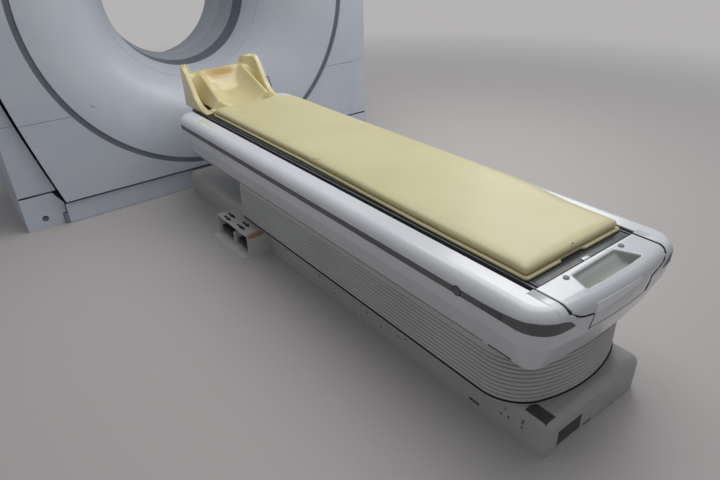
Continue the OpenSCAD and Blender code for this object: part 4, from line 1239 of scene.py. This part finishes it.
@dataclass
class HeadHolder:
    """Moulded head holder: broad rounded wings, slotted sides, a ridged cradle and a back panel.

    Lengths are in millimetres; v runs from the front of the holder to its back. The rim and bowl
    curves give heights by v, and crest_x and crest_z are the crest's start and its change with v.
    A rise or an end is an amount and the two v between which it comes in.
    """

    node: str = "headrest"
    step: float = 3.0
    voxel: float = 0.003
    half: float = 233.0
    front_d: float = 2244.0
    length: float = 304.0
    board: float = 553.0
    rim: Curve = (
        (0, 10), (40, 16), (85, 30), (123, 52), (150, 78), (176, 115), (200, 150), (225, 185),
        (250, 208), (275, 219), (294, 218), (304, 208))
    bowl: Curve = (
        (0, 12), (20, 16), (100, 27), (200, 58), (250, 96), (274, 129), (292, 170), (304, 168))
    crest_x: Pair = (143.0, -0.047)
    crest_z: Pair = (53.0, 0.437)
    crest_half: float = 7.0
    knee: Point = (258.0, 165.7, 0.16)
    front_run: float = 13.0
    front_z: float = 10.0
    bowl_shares: Pair = (0.35, 0.65)
    slot_x: float = 184.0
    slot_z: float = 12.0
    slot_rises: tuple[Point, ...] = ((128.0, 198.0, 262.0), (26.0, 252.0, 280.0))
    lip: Point = (18.0, 30.0, 42.0)
    wing_x: float = 198.0
    wing_round: Pair = (5.0, 17.0)
    wing_ends: tuple[Point, Point] = ((50.0, 250.0, 285.0), (14.0, 250.0, 290.0))
    taper: float = 0.17
    taper_v: Point = (264.0, 40.0, 42.0)
    # x and v ranges of the slot floors that carry painted shade.
    dark: tuple[Pair, Pair] = ((178.0, 199.0), (44.0, 205.0))

    def build(self) -> Piece:
        """Builds the holder as one closed surface and smooths it.

        Returns:
            The finished piece.
        """
        xs = np.linspace(-self.half, self.half, int(2 * self.half / self.step) + 1)
        vs = np.linspace(0.0, self.length, int(self.length / self.step) + 1)
        gx, gv = np.meshgrid(xs, vs)
        top = self.height(gx, gv)
        start, run, radius = self.taper_v
        turn = np.clip(gv - start, 0.0, run) / radius
        gx = gx * (1.0 - (1.0 - np.sqrt(np.clip(1.0 - turn ** 2, 0.0, 1.0))) * self.taper)
        piece = mesh_piece("head_holder", *self.closed_surface(gx, gv, top), MOULDED)
        rework(piece, self.voxel, 6)
        self.paint_slot_shade(piece)
        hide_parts(self.node)
        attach(piece, "sliding_top")
        return piece

    def height(self, x: np.ndarray, v: np.ndarray) -> np.ndarray:
        """Height of the upper surface over the board.

        Args:
            x: Distances from the centre line.
            v: Distances from the front.

        Returns:
            Heights of the same shape as x.
        """
        ax = np.abs(x)
        bowl_low = curve_at(self.bowl, v)
        crest_x = self.crest_x[0] + self.crest_x[1] * v
        knee_v, knee_z, knee_rise = self.knee
        crest = np.where(v > knee_v, knee_z + (v - knee_v) * knee_rise, self.crest_z[0] + self.crest_z[1] * v)
        rise = smoothstep(0.0, self.front_run, v)
        crest = crest * rise + self.front_z * (1.0 - rise)
        # The cradle between the crests.
        inside = np.clip(ax / (crest_x - self.crest_half), 0.0, 1.0)
        soft, steep = self.bowl_shares
        bowl = bowl_low + (crest - bowl_low) * (soft * inside ** 2 + steep * inside ** 4)
        # The flank from the crest down to the slot, which closes towards the back panel.
        slot_low = self.slot_z + 8.0 * (1.0 - smoothstep(36.0, 46.0, v))
        for amount, start, end in self.slot_rises:
            slot_low = slot_low + amount * smoothstep(start, end, v)
        slot_low = np.minimum(slot_low, crest)
        width = np.maximum(self.slot_x - crest_x - self.crest_half, 1.0)
        slope = np.clip((ax - crest_x - self.crest_half) / width, 0.0, 1.0)
        side = crest + (slot_low - crest) * slope ** 0.85
        lip_z, start, end = self.lip
        lip = lip_z * (1.0 - smoothstep(start, end, v))
        side = np.where(ax > crest_x, np.maximum(side, lip), side)
        flank = np.where(ax < crest_x + self.crest_half, crest, side)
        z = np.where(ax < crest_x - self.crest_half, bowl, flank)
        # The wings, with rounded tops; the right one grows wider towards the back than the left one.
        edge = np.full(v.shape, self.wing_x)
        for (amount, start, end), here in zip(self.wing_ends, (x > 0, x < 0)):
            edge = edge - amount * smoothstep(start, end, v) * here
        on_wing = smoothstep(-4.0, 4.0, ax - edge)
        drop, reach = self.wing_round
        across = np.clip(np.abs(ax - (edge + self.half) / 2) / reach, 0.0, 1.0)
        wing = curve_at(self.rim, v) - drop * across ** 3
        return z * (1.0 - on_wing) + wing * on_wing

    def closed_surface(self, gx: np.ndarray, gv: np.ndarray,
                       top: np.ndarray) -> tuple[list[Point], list[tuple[int, ...]]]:
        """Joins the upper surface to a flat base with walls.

        Args:
            gx: Grid of x values.
            gv: Grid of distances from the front.
            top: Grid of heights.

        Returns:
            Corner positions and faces.
        """
        rows, cols = top.shape
        d = gv + self.front_d
        verts = []
        for heights in (top, np.full(top.shape, 0.4)):
            verts += [row_point(gx[i, j], d[i, j], self.board + heights[i, j])
                      for i in range(rows) for j in range(cols)]
        base = rows * cols
        faces = []
        for i in range(rows - 1):
            for j in range(cols - 1):
                a, b = i * cols + j, (i + 1) * cols + j
                faces += [(a, a + 1, b + 1, b), (base + a, base + b, base + b + 1, base + a + 1)]
        rim = (list(range(cols)) + [i * cols + cols - 1 for i in range(1, rows)]
               + [(rows - 1) * cols + j for j in range(cols - 2, -1, -1)]
               + [i * cols for i in range(rows - 2, 0, -1)])
        faces += [(b, a, base + a, base + b) for a, b in zip(rim, rim[1:] + rim[:1])]
        return verts, faces

    def paint_slot_shade(self, piece: Piece) -> None:
        """Paints near-black shade on the floor of the deep side slots.

        Args:
            piece: The holder.
        """
        piece.data.materials.append(SHADE_AND_PRINT_BLACK.material())
        (x_low, x_high), (v_low, v_high) = self.dark
        for polygon in piece.data.polygons:
            x, y, z = (1000.0 * c for c in polygon.center)
            v = y - COUCH_FOOT - self.front_d
            if x_low < abs(x) < x_high and v_low < v < v_high and z < self.board + 20.0 + 0.05 * v:
                polygon.material_index = 1


@dataclass
class Mattress:
    """Foam mattress: a crowned pad on a thin lower sheet, with painted shade along a fine curved crease.

    The outline and the crease are in millimetres, x and distance to the couch foot.
    """

    node: str = "mattress"
    spacing: float = 12.0
    foot: float = 167.0
    outline: Curve = (
        (-222, 0), (222, 0), (230, 10), (240, 190), (262, 330), (273, 434), (268, 1691), (272, 1879),
        (270, 1959), (262, 2009), (240, 2044), (205, 2061), (-190, 2065), (-204, 2051), (-207, 2036),
        (-210, 1194), (-227, 430), (-230, 10))
    crease: Curve = ((-212, 1266), (-165, 1230), (-111, 1204), (-55, 1196), (-6, 1201), (70, 1209),
                     (131, 1224), (190, 1243), (240, 1266))
    sheet_top: float = 563.0
    pad_top: float = 589.0
    voxel: float = 0.008
    quick_voxel: float = 0.010
    pressure: float = 4.0
    stiffness: float = 25.0
    frames: int = 20
    swell: float = 0.0055
    crown: float = 3.0
    notch_x: Pair = (-70.0, 33.0)
    notch_depth: float = 0.010

    def path(self) -> np.ndarray:
        """Evenly spaced points round the outline.

        Returns:
            Rows of x and d.
        """
        points = np.array(self.outline, float) + (0.0, self.foot)
        steps = []
        for a, b in zip(points, np.roll(points, -1, axis=0)):
            n = max(1, int(np.linalg.norm(b - a) / self.spacing))
            steps += [a + (b - a) * k / n for k in range(n)]
        return np.array(steps)

    def slab(self, name: str, profile: list[Pair]) -> Piece:
        """Closed slab with a filled top and bottom.

        Args:
            name: Name of the piece.
            profile: Insets and heights of its loops, from the bottom up.

        Returns:
            The slab.
        """
        path = self.path()
        ahead = np.roll(path, -1, axis=0) - np.roll(path, 1, axis=0)
        normal = np.stack([-ahead[:, 1], ahead[:, 0]], 1)
        normal /= np.linalg.norm(normal, axis=1)[:, None]
        loops = [[row_point(p[0], p[1], z) for p in path + normal * inset] for inset, z in profile]
        piece = loft(name, loops, VINYL)
        bm = bmesh.new()
        bm.from_mesh(piece.data)
        bmesh.ops.triangulate(bm, faces=[f for f in bm.faces if len(f.verts) > 4])
        bmesh.ops.recalc_face_normals(bm, faces=bm.faces)
        bm.to_mesh(piece.data)
        bm.free()
        return piece

    def build(self) -> list[Piece]:
        """Builds the pad, its lower sheet, the painted crease shade and the small hole with painted shade in
        it.

        Returns:
            The pieces.
        """
        z0, z1 = self.sheet_top, self.pad_top
        pad = self.slab("foam_mattress", [(14, z0 + 0.2), (6, z0 + 1.0), (3.6, z0 + 4), (3, (z0 + z1) / 2 - 3),
                                          (4.5, z1 - 7), (8, z1 - 3), (14, z1 - 1.4), (24, z1 - 0.8)])
        rework(pad, self.voxel)
        self.inflate(pad)
        rework(pad, passes=4)
        sheet = self.slab("mattress_sheet", [(10, 553.5), (2.5, 553.9), (1.2, 556), (1.2, z0 - 3),
                                             (3, z0 - 0.6), (12, z0)])
        self.notch(sheet)
        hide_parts(self.node)
        tools = NodeTools()
        crease = tools.make("mattress_crease_shade", [self.crease_path()], tools.sweep(), CREASE_SHADE, radius=0.0008)
        # Near-black disc: painted shade inside the small pin hole.
        hole = tools.studs("mattress_pin_hole", [row_point(-12, 181, z1 + 0.9)], SHADE_AND_PRINT_BLACK,
                           radius=0.0028, depth=0.001)
        pieces = [pad, sheet, crease, hole]
        for piece in pieces:
            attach(piece, "sliding_top")
        return pieces

    def notch(self, sheet: Piece) -> None:
        """Draws the lower sheet back in the middle of the foot edge.

        Args:
            sheet: The lower sheet.
        """
        start, end = self.notch_x
        for vert in sheet.data.vertices:
            d = vert.co.y * 1000.0 - COUCH_FOOT
            if start < vert.co.x * 1000.0 < end and d < self.foot + 14.0:
                vert.co.y += self.notch_depth

    def crease_path(self) -> list[Point]:
        """Points of the shallow curved crease across the pad.

        Returns:
            Points in metres.
        """
        knots = np.array(self.crease, float)
        t = np.linspace(0.0, 1.0, len(knots))
        return [row_point(np.interp(u, t, knots[:, 0]), np.interp(u, t, knots[:, 1]), self.pad_top + 0.2)
                for u in np.linspace(0.0, 1.0, 25)]

    def inflate(self, pad: Piece) -> None:
        """Fills the pad with air pressure as cloth and keeps the movement small.

        Args:
            pad: The pad.
        """
        rest = np.array([tuple(v.co) for v in pad.data.vertices])
        cloth = pad.modifiers.new("cloth", "CLOTH")
        cloth.settings.quality = 5
        cloth.settings.use_pressure = True
        cloth.settings.uniform_pressure_force = self.pressure
        cloth.settings.tension_stiffness = self.stiffness
        cloth.settings.effector_weights.gravity = 0.0
        cloth.point_cache.frame_start = 1
        cloth.point_cache.frame_end = self.frames
        scene = bpy.context.scene
        for frame in range(1, self.frames + 1):
            scene.frame_set(frame)
        graph = bpy.context.evaluated_depsgraph_get()
        puffed = pad.evaluated_get(graph).to_mesh()
        moved = np.array([tuple(v.co) for v in puffed.vertices]) - rest
        pad.modifiers.clear()
        scene.frame_set(1)
        size = np.linalg.norm(moved, axis=1)
        placed = rest + moved * np.minimum(1.0, self.swell / np.maximum(size, 1e-9))[:, None]
        placed[:, 2] = np.clip(placed[:, 2], self.sheet_top / 1000.0, (self.pad_top + self.crown) / 1000.0)
        for vert, co in zip(pad.data.vertices, placed):
            vert.co = co
        LOG.info("foam_mattress: cloth moved up to %.1f mm", 1000.0 * min(self.swell, float(size.max())))


@dataclass
class Dresser:
    """Gives every CAD node its finish."""

    finishes: dict[str, Finish] = field(
        default_factory=lambda: {node: finish for finish, nodes in FINISH_NODES for node in nodes.split()})

    def dress(self, nodes: dict[str, Piece]) -> None:
        """Assigns the finishes.

        Args:
            nodes: CAD nodes by name.
        """
        for name, obj in nodes.items():
            mat = self.finishes[name].material()
            obj.data.materials.clear()
            obj.data.materials.append(mat)
            LOG.info("%s: %s", name, mat.name)


def main() -> None:
    """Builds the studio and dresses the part."""
    logging.basicConfig(level=logging.INFO, format="%(name)s: %(message)s")
    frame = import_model()
    Studio().build()
    Dresser().dress(frame["nodes"])
    for maker in (Mattress(), HeadHolder(), Stripe(), PleatedSkirt(), CouchLines(), EndCover(),
                  FootSwitchMarks()):
        made = maker.build()
        for piece in made if isinstance(made, list) else [made]:
            LOG.info("%s: %d faces", piece.name, len(piece.data.polygons))


if __name__ == "__main__":
    main()
